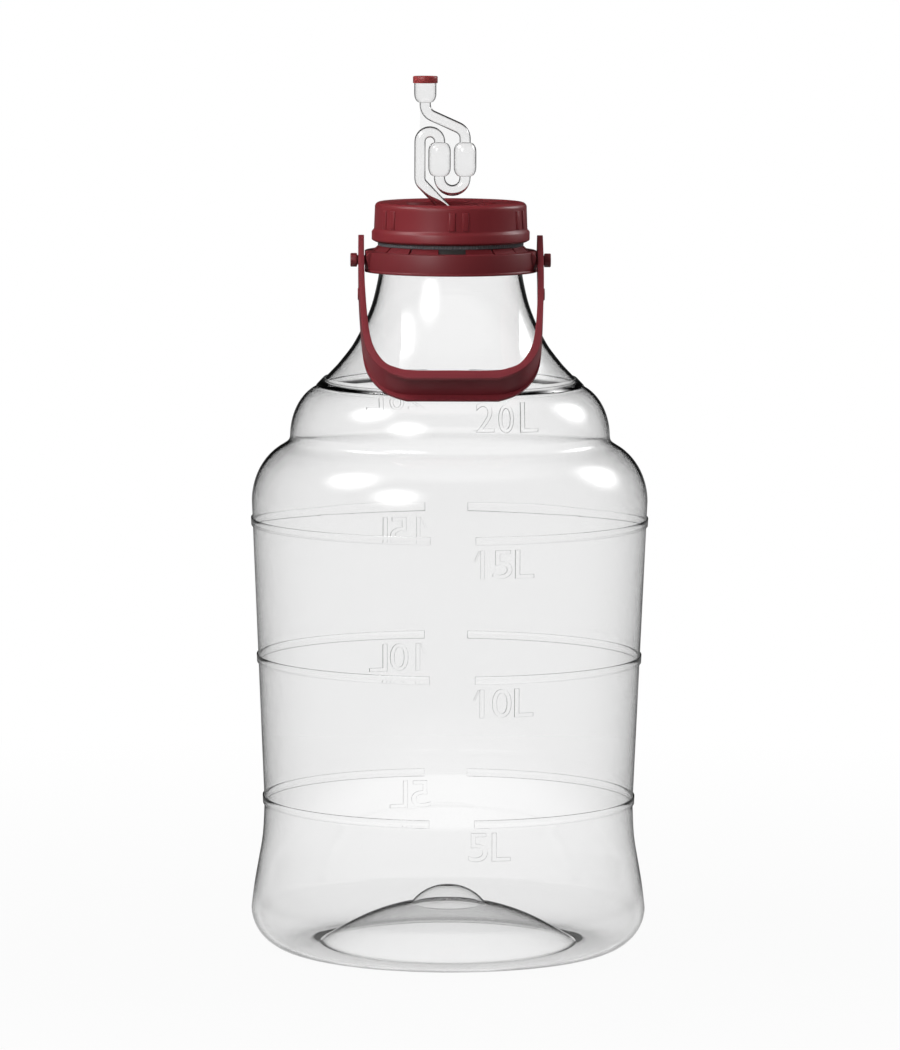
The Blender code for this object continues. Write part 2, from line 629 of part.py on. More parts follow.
def airlock_stations(wall):
    """The tube from the cup's mouth to the stem's end; a wall above zero gives its bore."""
    tube, cup, bulb = TUBE_RADIUS - wall, CUP_RADIUS - wall, BULB_RADIUS - wall
    past_end = 2.0 if wall > 0.0 else 0.0
    slope = 90.0 - OFFSET_SLOPE_DEG
    foot = 90.0 - FOOT_SLOPE_DEG
    cup_foot, cup_straight, cup_mouth = CUP_HEIGHTS
    low, high = BULB_HEIGHTS
    trap_left, trap_right = TRAP_CENTRE[0] - TRAP_BEND, TRAP_CENTRE[0] + TRAP_BEND
    cup_rows = rounding(cup_foot, cup_straight, tube, cup) + [(cup_mouth + past_end, cup)]
    lower_half = rounding(low, low + BULB_ROUND, tube, bulb)
    upper_half = rounding(high, high - BULB_ROUND, tube, bulb)
    stations = leg(CUP_ACROSS, -90.0, cup_rows[::-1])
    stations += bend((CUP_ACROSS + OFFSET_BEND, OFFSET_UPPER), OFFSET_BEND, 180.0, 180.0 + slope, tube)
    stations += bend((trap_right - OFFSET_BEND, OFFSET_LOWER), OFFSET_BEND, slope, 0.0, tube)
    stations += leg(trap_right, -90.0, upper_half + lower_half[::-1])
    stations += bend(TRAP_CENTRE, TRAP_BEND, 0.0, -180.0, tube)
    stations += leg(trap_left, 90.0, lower_half + upper_half[::-1])
    stations += bend((trap_left - RETURN_BEND, RETURN_HEIGHT), RETURN_BEND, 0.0, 180.0, tube)
    long_leg = trap_left - 2.0 * RETURN_BEND
    stations += bend((long_leg + FOOT_BEND, FOOT_UPPER), FOOT_BEND, 180.0, 180.0 + foot, tube)
    stations += bend((-FOOT_BEND, FOOT_LOWER), FOOT_BEND, foot, 0.0, tube)
    return stations + leg(0.0, -90.0, [(STEM_END - past_end, tube)])


def tube_mesh(stations):
    """Skin a run of round sections that all stand in the XZ plane, closed at both ends."""
    builder = bmesh.new()
    rings = []
    for across, height, heading_deg, radius in stations:
        heading = radians(heading_deg)
        side = Vector((-sin(heading), 0.0, cos(heading)))
        middle = Vector((across, 0.0, height))
        ring = []
        for index in range(TUBE_SIDES):
            angle = 2.0 * pi * index / TUBE_SIDES
            corner = middle + radius * (cos(angle) * side + sin(angle) * Vector((0.0, 1.0, 0.0)))
            ring.append(builder.verts.new(corner * MM))
        rings.append(ring)
    for ring, following in zip(rings, rings[1:]):
        for index in range(TUBE_SIDES):
            after = (index + 1) % TUBE_SIDES
            builder.faces.new((ring[index], ring[after], following[after], following[index]))
    builder.faces.new(rings[0])
    builder.faces.new(rings[-1][::-1])
    return builder


def airlock(material, axis):
    """Airlock body: tube with cup and bulbs, a flat web between the bends, and the bore all through."""
    body = finish_object("airlock", tube_mesh(airlock_stations(0.0)), material)
    web = prism([(across, height) for across, height in WEB_CORNERS], -WEB_HALF_THICKNESS, WEB_HALF_THICKNESS)
    web.transform(Matrix.Rotation(pi / 2.0, 4, "X"))
    plate = finish_object("airlock_web", web)
    combine(body, plate, "UNION")
    bore = finish_object("airlock_bore", tube_mesh(airlock_stations(TUBE_WALL)))
    combine(body, bore, "DIFFERENCE")
    for item in (body, plate, bore):
        item.parent = axis
    return body


def airlock_dust_cap(material, axis):
    """Small lid that sits over the cup's rim."""
    low, high = DUST_CAP_HEIGHTS
    outline = [(0.0, high - DUST_CAP_TOP), (DUST_CAP_BORE, high - DUST_CAP_TOP), (DUST_CAP_BORE, low),
               (DUST_CAP_RADIUS, low), (DUST_CAP_RADIUS, high - 0.5), (DUST_CAP_RADIUS - 0.5, high),
               (0.0, high)]
    builder = turned_mesh(outline, DUST_CAP_SEGMENTS)
    builder.transform(Matrix.Translation((CUP_ACROSS * MM, 0.0, 0.0)))
    lid = finish_object("airlock_dust_cap", builder, material)
    lid.parent = axis
    return lid


def axis_empty(name, place, parent=None):
    """An empty that marks a joint's axis; its children keep their places in the world."""
    empty = bpy.data.objects.new(name, None)
    empty.empty_display_size = 0.02
    bpy.context.scene.collection.objects.link(empty)
    empty.location = place
    if parent:
        empty.parent = parent
    return empty


def main():
    clear_scene()
    clear = plastic("clear_bottle_plastic", (0.90, 0.92, 0.93), 0.05, 1.0)
    clear_tube = plastic("clear_airlock_plastic", (0.92, 0.93, 0.93), 0.12, 1.0)
    red = plastic("red_cap_plastic", (0.16, 0.025, 0.033), 0.36)
    red_collar = plastic("red_collar_plastic", (0.17, 0.03, 0.037), 0.38)
    red_handle = plastic("red_handle_plastic", (0.18, 0.034, 0.042), 0.38)
    red_lid = plastic("red_lid_plastic", (0.35, 0.06, 0.065), 0.40)
    foam = plastic("white_foam", (0.78, 0.78, 0.76), 0.85)
    rubber = plastic("grey_rubber", (0.11, 0.11, 0.11), 0.70)

    bottle(clear)
    handle_collar(red_collar, None)
    bail_handle(red_handle, None)
    screw_cap(red)
    cap_gasket(foam)
    airlock_grommet(rubber)
    airlock(clear_tube, None)
    airlock_dust_cap(red_lid, None)


main()
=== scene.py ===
# %% [markdown]
# # A clear 20 litre demijohn with a handle, a screw cap and an airlock
# The bottle is blown from clear PET. Its closure, collar and handle are moulded in dark red
# polypropylene, and a small clear airlock stands in the cap. The CAD model gives every place and
# size and moves the pieces at their joints. This script loads it as a fixed frame, models finer
# skins over its solids, gives each a material, and adds a floor, lamps and a camera.

# %% Load the frame
from math import asin, atan2, cos, degrees, pi, radians, sin, sqrt

import bmesh
import bpy
from mathutils import Matrix, Vector


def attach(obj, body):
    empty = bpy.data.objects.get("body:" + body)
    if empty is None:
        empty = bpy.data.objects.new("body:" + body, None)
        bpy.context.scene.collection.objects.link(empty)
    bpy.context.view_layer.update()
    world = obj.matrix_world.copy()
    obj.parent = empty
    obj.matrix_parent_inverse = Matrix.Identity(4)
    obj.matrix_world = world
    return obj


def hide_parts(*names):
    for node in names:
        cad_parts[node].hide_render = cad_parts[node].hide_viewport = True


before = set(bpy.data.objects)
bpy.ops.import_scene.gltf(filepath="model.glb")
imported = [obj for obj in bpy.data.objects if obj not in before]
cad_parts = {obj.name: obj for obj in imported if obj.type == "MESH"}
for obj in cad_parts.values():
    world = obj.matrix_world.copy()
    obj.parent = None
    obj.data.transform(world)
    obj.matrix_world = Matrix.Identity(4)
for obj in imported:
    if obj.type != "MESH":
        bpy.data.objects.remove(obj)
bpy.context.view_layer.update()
print("CAD nodes:", sorted(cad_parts))

# %% [markdown]
# ## Small tools
# Sizes are written in millimetres, as they would be on a drawing, and one factor makes them the
# metres that Blender works in. Colours are written as the sRGB hex codes that a paint chart gives.
# A shader wants linear light instead, so one function converts them.

# %% Units and colours
MM = 0.001


def linear(hex_code):
    """The linear RGB of an sRGB hex colour."""
    channels = [int(hex_code[place:place + 2], 16) / 255.0 for place in (1, 3, 5)]
    return tuple(c / 12.92 if c <= 0.04045 else ((c + 0.055) / 1.055) ** 2.4 for c in channels)


print("mid grey in linear light:", [round(channel, 3) for channel in linear("#808080")])

# %% [markdown]
# Each material is a small tree of nodes. One helper adds a node, sets what it is told and links its
# inputs. The short ones after it make the kinds of node that nearly every material uses, so that a
# material reads as a list of what it is made of.

# %% Node helpers
def plug(tree, node, inputs):
    """Set each input to its value, or link it where an output socket is given."""
    for name, value in inputs.items():
        if isinstance(value, bpy.types.NodeSocket):
            tree.links.new(value, node.inputs[name])
        else:
            node.inputs[name].default_value = value


def add_node(tree, kind, inputs=None, **settings):
    """Add a node with its settings and its inputs."""
    node = tree.nodes.new(kind)
    for name, value in settings.items():
        setattr(node, name, value)
    plug(tree, node, inputs or {})
    return node


def rgba(colour):
    """A socket as it is, or the linear colour of an sRGB hex code or a grey level."""
    if isinstance(colour, str):
        return (*linear(colour), 1.0)
    return (colour, colour, colour, 1.0) if isinstance(colour, float) else colour


def noise(tree, size, detail, **more):
    """Noise fixed to the object, with grains of a size in millimetres."""
    coords = add_node(tree, "ShaderNodeTexCoord")
    inputs = {"Vector": coords.outputs["Object"], "Scale": 1.0 / (size * MM), "Detail": detail, **more}
    return add_node(tree, "ShaderNodeTexNoise", inputs).outputs["Fac"]


def ramp(tree, value, low, high, start=0.0, end=1.0):
    """Lead a value's range from low to high over to start and end."""
    inputs = {"Value": value, "From Min": low, "From Max": high, "To Min": start, "To Max": end}
    return add_node(tree, "ShaderNodeMapRange", inputs).outputs["Result"]


def blend(tree, share, first, second, blend_type="MIX"):
    """Mix two colours, the second by its share."""
    inputs = {"Fac": share, "Color1": rgba(first), "Color2": rgba(second)}
    return add_node(tree, "ShaderNodeMixRGB", inputs, blend_type=blend_type).outputs["Color"]


def bump(tree, height, strength, depth):
    """A skin roughened to a depth in millimetres."""
    inputs = {"Height": height, "Strength": strength, "Distance": depth * MM}
    return add_node(tree, "ShaderNodeBump", inputs).outputs["Normal"]


def new_material(name):
    """An empty node material with its tree and its Principled shader."""
    material = bpy.data.materials.new(name)
    material.use_nodes = True
    tree = material.node_tree
    return material, tree, tree.nodes["Principled BSDF"]


print("node helpers ready")

# %% [markdown]
# ## Clear blown PET
# PET is a clear polyester with an index of about 1.57. It leaves the mould with a mirror gloss, and
# blowing leaves its skin very slightly wavy, which bends what is seen through it. Nothing is painted
# to darken the outline: with an even wall, the index alone makes the skin pass less light where the
# eye looks along it, and a thick wall turns the light away there and draws its own dark line.

# %% Clear PET
PET_INDEX = 1.57


def blown_pet():
    material, tree, shader = new_material("blown_clear_PET")
    waves = noise(tree, 45.0, 1.0, Roughness=0.4)
    plug(tree, shader, {"Base Color": rgba("#ffffff"), "Transmission Weight": 1.0, "Roughness": 0.01,
                        "IOR": PET_INDEX, "Normal": bump(tree, waves, 0.10, 1.2)})
    return material


CLEAR_PET = blown_pet()
print(CLEAR_PET.name)

# %% [markdown]
# The ring under the cap is the same PET, but its fine upright teeth scatter light, so that it looks
# grey and misty. Its foot behind the collar's notches is given a darker grey, as painted shade for the
# shadow in the notches.

# %% Knurled PET and painted shade
def grey_clear_pet(name, dark, light):
    material, tree, shader = new_material(name)
    plug(tree, shader, {"Base Color": blend(tree, noise(tree, 2.0, 1.0), dark, light),
                        "Transmission Weight": 0.15, "Roughness": 0.35, "IOR": PET_INDEX})
    return material


KNURLED_PET = grey_clear_pet("knurled_clear_PET", "#66686c", "#7a7c80")
# The second, darker grey is painted shade for the ring's foot in the collar's notches
PAINTED_SHADE_PET = grey_clear_pet("painted_shade_clear_PET", "#343534", "#424341")
print(KNURLED_PET.name, PAINTED_SHADE_PET.name)

# %% [markdown]
# The airlock is injection-moulded styrene, a little stiffer than the bottle and just as clear. Its
# skin has no waves, only the faint haze of a part that has been rinsed many times.

# %% Clear styrene
def moulded_styrene():
    material, tree, shader = new_material("moulded_clear_styrene")
    rinsed = ramp(tree, noise(tree, 12.0, 2.0), 0.3, 0.7, 0.0, 0.03)
    plug(tree, shader, {"Base Color": rgba("#fcfcfc"), "Transmission Weight": 1.0, "Roughness": rinsed,
                        "IOR": 1.50})
    return material


CLEAR_STYRENE = moulded_styrene()
print(CLEAR_STYRENE.name)

# %% [markdown]
# ## Red moulded plastic
# The cap, collar and handle are polypropylene from a finely spark-eroded mould, so light spreads a
# little on them. The grain is about 0.3 mm across in the real part. Here it is drawn at 0.9 mm, the
# finest that a picture of the whole bottle can show. Slow changes in the melt shift the colour by a
# few percent, and rubbed places are a little glossier.

# %% Red polypropylene
def moulded_red(name, main, deep, roughness):
    material, tree, shader = new_material(name)
    melt, grain = noise(tree, 30.0, 2.0), noise(tree, 0.9, 1.0)
    rubbed = ramp(tree, melt, 0.3, 0.7, roughness - 0.03, roughness + 0.03)
    plug(tree, shader, {"Base Color": blend(tree, melt, main, deep), "Roughness": rubbed, "IOR": 1.49,
                        "Specular IOR Level": 0.35, "Normal": bump(tree, grain, 0.16, 0.06)})
    return material


RED_CAP = moulded_red("moulded_red_polypropylene", "#7b262c", "#742429", 0.40)
RED_COLLAR = moulded_red("moulded_red_collar_polypropylene", "#6f252a", "#692227", 0.42)
RED_HANDLE = moulded_red("moulded_red_handle_polypropylene", "#7a2c33", "#73282f", 0.42)
RED_LID = moulded_red("moulded_red_polyethylene", "#963b3a", "#8e3738", 0.38)
print(RED_CAP.name, RED_LID.name)

# %% [markdown]
# ## Foam seal and rubber grommet
# The seal is closed-cell polyethylene foam, white and dull, with cells of about 0.7 mm. The grommet
# is moulded grey rubber, and its fine flash and dust make it look matt.

# %% Foam and rubber
def dull_material(name, main, cells, depth, roughness):
    material, tree, shader = new_material(name)
    pores = noise(tree, cells, 2.0)
    tone = ramp(tree, pores, 0.0, 1.0, 0.86, 1.06)
    plug(tree, shader, {"Base Color": blend(tree, 1.0, main, tone, "MULTIPLY"), "Roughness": roughness,
                        "Normal": bump(tree, pores, 0.4, depth)})
    return material


WHITE_FOAM = dull_material("closed_cell_white_foam", "#e4e3df", 0.7, 0.10, 0.9)
GREY_RUBBER = dull_material("moulded_grey_rubber", "#5b5b5c", 0.8, 0.05, 0.7)
print(WHITE_FOAM.name, GREY_RUBBER.name)

# %% [markdown]
# ## Ways to make a piece
# Nearly every piece here is turned, so the first tool spins an outline of radius and height round
# the bottle's axis. Spin leaves doubles on the axis, which are merged before the normals are made to
# point outwards. The second tool draws a flat shape and extrudes it to a straight block, which
# cutters, straps and plates are made from.

# %% Turned and extruded blanks
def corners_of(parts):
    """The corners among the parts that an operator gives back."""
    return [part for part in parts if isinstance(part, bmesh.types.BMVert)]


def turned(outline, segments, first_angle=-90.0):
    """Spin (radius, height) points in millimetres into a closed solid."""
    builder = bmesh.new()
    start = Matrix.Rotation(radians(first_angle), 3, "Z")
    corners = [builder.verts.new(start @ Vector((radius * MM, 0.0, height * MM)))
               for radius, height in outline]
    edges = [builder.edges.new(ends) for ends in zip(corners, corners[1:])]
    if outline[0][0] > 0.0:
        edges.append(builder.edges.new((corners[-1], corners[0])))
    bmesh.ops.spin(builder, geom=corners + edges, cent=(0.0, 0.0, 0.0), axis=(0.0, 0.0, 1.0),
                   angle=2.0 * pi, steps=segments, use_merge=True)
    bmesh.ops.remove_doubles(builder, verts=builder.verts, dist=0.001 * MM)
    bmesh.ops.recalc_face_normals(builder, faces=builder.faces)
    return builder


def block(outline, low, high):
    """Extrude a flat (x, y) outline in millimetres from one height to another."""
    builder = bmesh.new()
    base = builder.faces.new([builder.verts.new((x * MM, y * MM, low * MM)) for x, y in outline])
    top = bmesh.ops.extrude_face_region(builder, geom=[base], use_keep_orig=True)["geom"]
    bmesh.ops.translate(builder, verts=corners_of(top), vec=(0.0, 0.0, (high - low) * MM))
    bmesh.ops.recalc_face_normals(builder, faces=builder.faces)
    return builder


def bar(left, right, near, far, low, high):
    """A straight rectangular block."""
    return block([(left, near), (right, near), (right, far), (left, far)], low, high)


def rounded(builder, edges, offset, segments=2):
    """Round edges off by an offset in millimetres."""
    bmesh.ops.bevel(builder, geom=list(edges), offset=offset * MM, offset_type="OFFSET", segments=segments,
                    profile=0.5, affect="EDGES", clamp_overlap=True, material=-1)


print("turned and extruded blanks ready")

# %% [markdown]
# A finished piece becomes an object that sits at the origin, rides on its CAD body, hides the CAD
# node that it stands for, and names the record's material slot. Booleans are tried on a throw-away
# object and kept as a plain mesh, so that no cutter is left in the scene.

# %% From builder to piece
def as_mesh(name, builder):
    """Close a builder into a mesh whose faces point outwards."""
    bmesh.ops.recalc_face_normals(builder, faces=builder.faces)
    if builder.calc_volume(signed=True) < 0.0:
        bmesh.ops.reverse_faces(builder, faces=builder.faces)
    mesh = bpy.data.meshes.new(name)
    builder.to_mesh(mesh)
    builder.free()
    return mesh


def placed(name, data):
    """A new object in the scene."""
    item = bpy.data.objects.new(name, data)
    bpy.context.scene.collection.objects.link(item)
    return item


def combined(name, start, steps):
    """Add or cut a row of (operation, builder) steps and return the resulting mesh."""
    body = placed(name + "_work", as_mesh(name, start))
    tools = []
    for index, (operation, builder) in enumerate(steps):
        tool = placed(f"{name}_tool_{index}", as_mesh(f"{name}_tool_{index}", builder))
        change = body.modifiers.new(operation, "BOOLEAN")
        change.operation = operation
        change.solver = "EXACT"
        change.object = tool
        tools.append(tool)
    settled = bpy.context.evaluated_depsgraph_get()
    mesh = bpy.data.meshes.new_from_object(body.evaluated_get(settled))
    mesh.name = name
    for item in [body] + tools:
        bpy.data.objects.remove(item, do_unlink=True)
    return mesh


def together(builders):
    """Several separate solids in one builder."""
    whole = bmesh.new()
    for builder in builders:
        mesh = bpy.data.meshes.new("loose")
        builder.to_mesh(mesh)
        builder.free()
        whole.from_mesh(mesh)
        bpy.data.meshes.remove(mesh)
    return whole


def pair(make):
    """A solid to each side, from a function that is given the side's sign."""
    return together([make(side) for side in (-1.0, 1.0)])


def piece(name, shape, material, body, stands_for=(), sharp_deg=35.0):
    """Make the object, shade it, and tell the frame what it rides on and stands for."""
    mesh = shape if isinstance(shape, bpy.types.Mesh) else as_mesh(name, shape)
    mesh.materials.clear()
    mesh.materials.append(material)
    mesh.shade_smooth()
    mesh.set_sharp_from_angle(angle=radians(sharp_deg))
    item = placed(name, mesh)
    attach(item, body)
    if stands_for:
        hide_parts(*stands_for)
    print(f"{name}: {len(mesh.polygons)} faces, rides on {body}")


def ellipse_arc(centre, semi_axes, start_deg, end_deg, steps):
    """Points on an ellipse, both ends included."""
    angles = [radians(start_deg + (end_deg - start_deg) * step / steps) for step in range(steps + 1)]
    return [(centre[0] + semi_axes[0] * cos(angle), centre[1] + semi_axes[1] * sin(angle))
            for angle in angles]


def smooth_curve(stations, steps):
    """Points on a Catmull-Rom curve through the stations."""
    padded = [stations[0]] + list(stations) + [stations[-1]]
    points = []
    for index in range(1, len(padded) - 2):
        before, here, there, after = (Vector(padded[index + offset]) for offset in (-1, 0, 1, 2))
        for step in range(steps):
            t = step / steps
            points.append(tuple(0.5 * (2.0 * here + (there - before) * t
                                       + (2.0 * before - 5.0 * here + 4.0 * there - after) * t ** 2
                                       + (3.0 * here - before - 3.0 * there + after) * t ** 3)))
    points.append(tuple(stations[-1]))
    return points


print("piece tools ready")

# %% [markdown]
# ## The bottle's outline
# A blow-moulded bottle is a surface of revolution, so one half outline says nearly everything about
# it: the standing ring, the pushed-up base with a small dome, the heel, the drawn-in waist, a slow
# taper, two bulging shoulders, the flared neck and the mouth. Each stretch is an arc or a curve
# through a few measured stations, and the flare ends where the plain neck starts.

# %% Base and heel
# A sphere is (height of its middle, radius); an ellipse is (middle, half widths)
PUSH_UP = (-108.5, 140.0)
PUSH_UP_INNER, PUSH_UP_OUTER = 27.6, 88.5
DOME = (12.3, 30.4)
DOME_STATIONS = (7.5, 11.0, 15.0, 18.5, 21.5, 23.5, 25.0)
HEEL = ((106.5, 28.5), (29.9, 28.5))


def sphere_height(sphere, radius):
    """Height of a sphere's upper side over a point."""
    return sphere[0] + sqrt(sphere[1] ** 2 - radius ** 2)


def base_outline():
    """From the moulding nib in the middle, out under the bottle to the top of the heel."""
    nib_foot = sphere_height(DOME, DOME_STATIONS[0])
    points = [(0.0, nib_foot + 0.5), (3.0, nib_foot + 0.45), (4.2, nib_foot + 0.1)]
    points += [(radius, sphere_height(DOME, radius)) for radius in DOME_STATIONS]
    points += [(26.2, sphere_height(PUSH_UP, 26.2) + 0.2)]
    slope = [PUSH_UP_INNER + (PUSH_UP_OUTER - PUSH_UP_INNER) * step / 14.0 for step in range(14)]
    points += [(radius, sphere_height(PUSH_UP, radius)) for radius in slope]
    points += [(88.4, 0.15), (89.4, 0.0), (98.0, 0.0)]
    return points + ellipse_arc(*HEEL, -90.0, 0.0, 18)


print("base outline:", len(base_outline()), "points")

# %% Body, shoulders and neck
WAIST = [(136.4, 28.5), (134.3, 45.0), (131.7, 60.0), (128.6, 79.0), (127.5, 101.3), (127.6, 104.0)]
TAPER_START, TAPER_END = (127.6, 104.0), (136.1, 303.0)
LITRE_BANDS = [(101.3, 106.7), (199.6, 205.0), (294.3, 299.7)]
LOWER_SHOULDER = ((100.0, 311.0), (36.45, 42.2))
CREASE = [(115.98, 348.93), (112.6, 351.2), (110.9, 353.2), (110.25, 355.6), (110.08, 358.5)]
UPPER_SHOULDER = ((83.0, 356.0), (27.15, 36.2))
TOP_BAND = (390.2, 395.8)
SHOULDER_CONE = ((91.4, 390.2), (77.7, 404.6))
FLARE = [(77.7, 404.6), (70.0, 414.3), (65.4, 421.3), (59.0, 433.8), (54.1, 446.3), (50.9, 459.0),
         (49.2, 468.5), (49.0, 475.0)]


def straight(start, end, height):
    """The value at a height on the straight line between two (value, height) points."""
    return start[0] + (end[0] - start[0]) * (height - start[1]) / (end[1] - start[1])


def read_off(line, height):
    """The value at a height on a line of (value, height) points, or its last one above its end."""
    for below, above in zip(line, line[1:]):
        if below[1] <= height <= above[1] and above[1] > below[1]:
            return straight(below, above, height)
    return line[-1][0]


def side_outline():
    """From the heel's top to the start of the plain neck, with an edge at each litre band."""
    points = [station for station in smooth_curve(WAIST, 4)[1:] if station[1] < 101.0]
    edges = sorted([height for band in LITRE_BANDS for height in band] + [TAPER_START[1], 150.0, 250.0])
    points += [(straight(TAPER_START, TAPER_END, height), height) for height in edges]
    points += ellipse_arc(*LOWER_SHOULDER, 0.0, 64.0, 18)[:-1]
    points += smooth_curve(CREASE, 3)[:-1]
    points += ellipse_arc(*UPPER_SHOULDER, 4.0, 68.0, 16)
    points += [(straight(*SHOULDER_CONE, height), height) for height in TOP_BAND]
    return points + smooth_curve(FLARE, 3)


OUTER_SIDE = side_outline()


def skin_radius(height):
    """Radius of the bottle's outer skin at a height above the heel."""
    return read_off(OUTER_SIDE, height)


print("skin radius at the lower shoulder:", round(skin_radius(310.0), 1), "mm")

# %% [markdown]
# The skin's thickness isn't even. Blowing stretches the middle to about half a millimetre, while the
# neck, which isn't stretched at all, keeps three millimetres and shows a heavy dark outline. The
# inner skin is the outer one moved inwards by that thickness, square to the surface.

# %% Inner skin
# Thickness and height, from the base to the neck
THICKNESS = [(1.4, 0.0), (0.8, 30.0), (0.6, 60.0), (0.8, 295.0), (1.5, 318.0), (2.0, 345.0), (1.6, 358.0),
             (1.9, 375.0), (1.8, 390.0), (2.1, 404.0), (2.6, 440.0), (3.0, 475.0)]


def wall(height):
    return read_off(THICKNESS, height)


def inner_outline(outer):
    """Move each station of an outline inwards by the wall's thickness there."""
    inner = [(0.0, outer[0][1] + wall(0.0))]
    for before, here, after in zip(outer, outer[1:], outer[2:]):
        along = Vector((after[0] - before[0], after[1] - before[1])).normalized()
        inner.append((here[0] - along.y * wall(here[1]), here[1] + along.x * wall(here[1])))
    return inner


BOTTLE_SEGMENTS = 168
MOUTH_OUTLINE = [(49.0, 476.0), (49.0, 490.6), (48.7, 491.4), (47.8, 491.7), (47.5, 492.2), (47.4, 510.6),
                 (47.2, 511.2), (46.6, 511.4), (45.8, 511.4), (45.4, 511.1), (45.3, 510.4), (45.3, 480.0)]
outer_skin = base_outline() + OUTER_SIDE[1:]
inner_skin = inner_outline(outer_skin)
print("outer", len(outer_skin), "and inner", len(inner_skin), "stations")

# %% [markdown]
# ## Litre bands and the blank of the bottle
# The bands are part of the skin and stand about 1 mm proud. All are broken by the same width at the
# front and the back, so the corners at a gap are first slid round the skin to where it ends. The
# faces between a band's two edges are picked by their place, extruded as one region and moved out.
# Then the new top edges are rounded, as blown plastic never fills a sharp corner.

# %% Bottle blank with bands
BAND_GAP_HALF = 15.2
BAND_ROUNDING = 0.28


def between(corners, low, high):
    """True where all the corners lie between two heights."""
    return all(low - 0.01 < corner.co.z / MM < high + 0.01 for corner in corners)


def slide_band_ends(builder, low, high, column_deg):
    """Slide the corners of one column round the skin to the end of a band."""
    for corner in builder.verts:
        angle = degrees(atan2(corner.co.x, abs(corner.co.y)))
        if between([corner], low, high) and abs(abs(angle) - column_deg) < 0.1:
            wanted = degrees(asin(BAND_GAP_HALF * MM / corner.co.xy.length))
            turn = (wanted if angle > 0.0 else -wanted) - angle
            corner.co.rotate(Matrix.Rotation(radians(turn if corner.co.y < 0.0 else -turn), 3, "Z"))


def side_faces(builder, low, high, gap_deg):
    """Outer faces between two heights, apart from a gap at the front and the back."""
    found = []
    for face in builder.faces:
        middle = face.calc_center_median()
        off_centre = degrees(atan2(abs(middle.x), abs(middle.y)))
        on_skin = middle.xy.length / MM > skin_radius(middle.z / MM) - 0.35
        if between(face.verts, low, high) and on_skin and off_centre > gap_deg:
            found.append(face)
    return found


def raise_region(builder, faces, proud, lift, rounding, steps=2):
    """Extrude faces as one region, move it outwards and up, and round the edges of its top."""
    raised = bmesh.ops.extrude_face_region(builder, geom=faces)["geom"]
    bmesh.ops.delete(builder, geom=faces, context="FACES")
    for corner in corners_of(raised):
        outwards = Vector((corner.co.x, corner.co.y, 0.0)).normalized()
        corner.co += outwards * proud * MM
        corner.co.z += lift * MM
    tops = {part for part in raised if isinstance(part, bmesh.types.BMFace)}
    rims = [edge for edge in {edge for face in tops for edge in face.edges}
            if sum(face in tops for face in edge.link_faces) == 1]
    rounded(builder, rims, rounding, steps)


def bottle_blank():
    builder = turned(outer_skin + MOUTH_OUTLINE + inner_skin[::-1], BOTTLE_SEGMENTS)
    segment = 360.0 / BOTTLE_SEGMENTS
    for (low, high), gap_deg, proud, lift in [(band, 3.0 * segment, 1.1, 0.0) for band in LITRE_BANDS] + [
            (TOP_BAND, 5.0 * segment, 0.9, 0.6)]:
        slide_band_ends(builder, low, high, gap_deg)
        raise_region(builder, side_faces(builder, low, high, gap_deg), proud, lift, BAND_ROUNDING)
    return builder


blank = bottle_blank()
print("bottle blank:", len(blank.faces), "faces")

# %% [markdown]
# ## Litre numbers
# The mould's engraved numbers leave raised ones on the skin, under each band's right-hand end, on
# the front and again on the back. Each sign is drawn as text, filled and extruded, cut into strips so
# that it can bend, and then wrapped onto the outline. The mould cuts it straight in, so it keeps its
# width where the skin leans back. A one is a stem and a slanted stroke. A union with the blank makes it
# one piece with the skin: a separate block would show a second surface inside the clear wall.

# %% Wrapped numbers
SIGN_PROUD, SIGN_SUNK = 0.95, 0.30
# Sign, foot and top in mm, and its two sides as sines of the angle from the front, taken at the foot
SIGNS = [("2", (367.6, 387.0), (0.144, 0.256)), ("0", (366.9, 385.3), (0.283, 0.376)),
         ("L", (366.9, 386.3), (0.419, 0.528)),
         ("/", (283.3, 290.0), (0.1035, 0.1356)), ("l", (271.3, 290.5), (0.1376, 0.1568)),
         ("5", (271.3, 290.5), (0.1985, 0.2947)), ("L", (271.3, 290.5), (0.3107, 0.4037)),
         ("/", (189.0, 195.6), (0.1075, 0.1390)), ("l", (176.8, 196.1), (0.1410, 0.1636)),
         ("0", (176.8, 196.3), (0.2052, 0.3034)), ("L", (176.9, 196.2), (0.3200, 0.4160)),
         ("5", (78.9, 98.1), (0.0881, 0.1885)), ("L", (78.9, 98.1), (0.2107, 0.3071))]


def flat_sign(sign):
    """One sign as a flat filled mesh in a unit box, cut into strips."""
    curve = bpy.data.curves.new("sign", "FONT")
    curve.body = sign
    curve.size = 1.0
    curve.resolution_u = 4
    item = placed("sign", curve)
    mesh = bpy.data.meshes.new_from_object(item.evaluated_get(bpy.context.evaluated_depsgraph_get()))
    bpy.data.objects.remove(item, do_unlink=True)
    builder = bmesh.new()
    builder.from_mesh(mesh)
    bpy.data.meshes.remove(mesh)
    bmesh.ops.remove_doubles(builder, verts=builder.verts, dist=0.0001)
    across, up = ([corner.co[axis] for corner in builder.verts] for axis in (0, 1))
    left, foot, width, rise = min(across), min(up), max(across) - min(across), max(up) - min(up)
    for corner in builder.verts:
        corner.co = Vector(((corner.co.x - left) / width, (corner.co.y - foot) / rise, 0.0))
    for count, direction in ((5, Vector((1.0, 0.0, 0.0))), (8, Vector((0.0, 1.0, 0.0)))):
        for step in range(1, count):
            everything = builder.verts[:] + builder.edges[:] + builder.faces[:]
            bmesh.ops.bisect_plane(builder, geom=everything, plane_co=direction * step / count,
                                   plane_no=direction)
    return builder


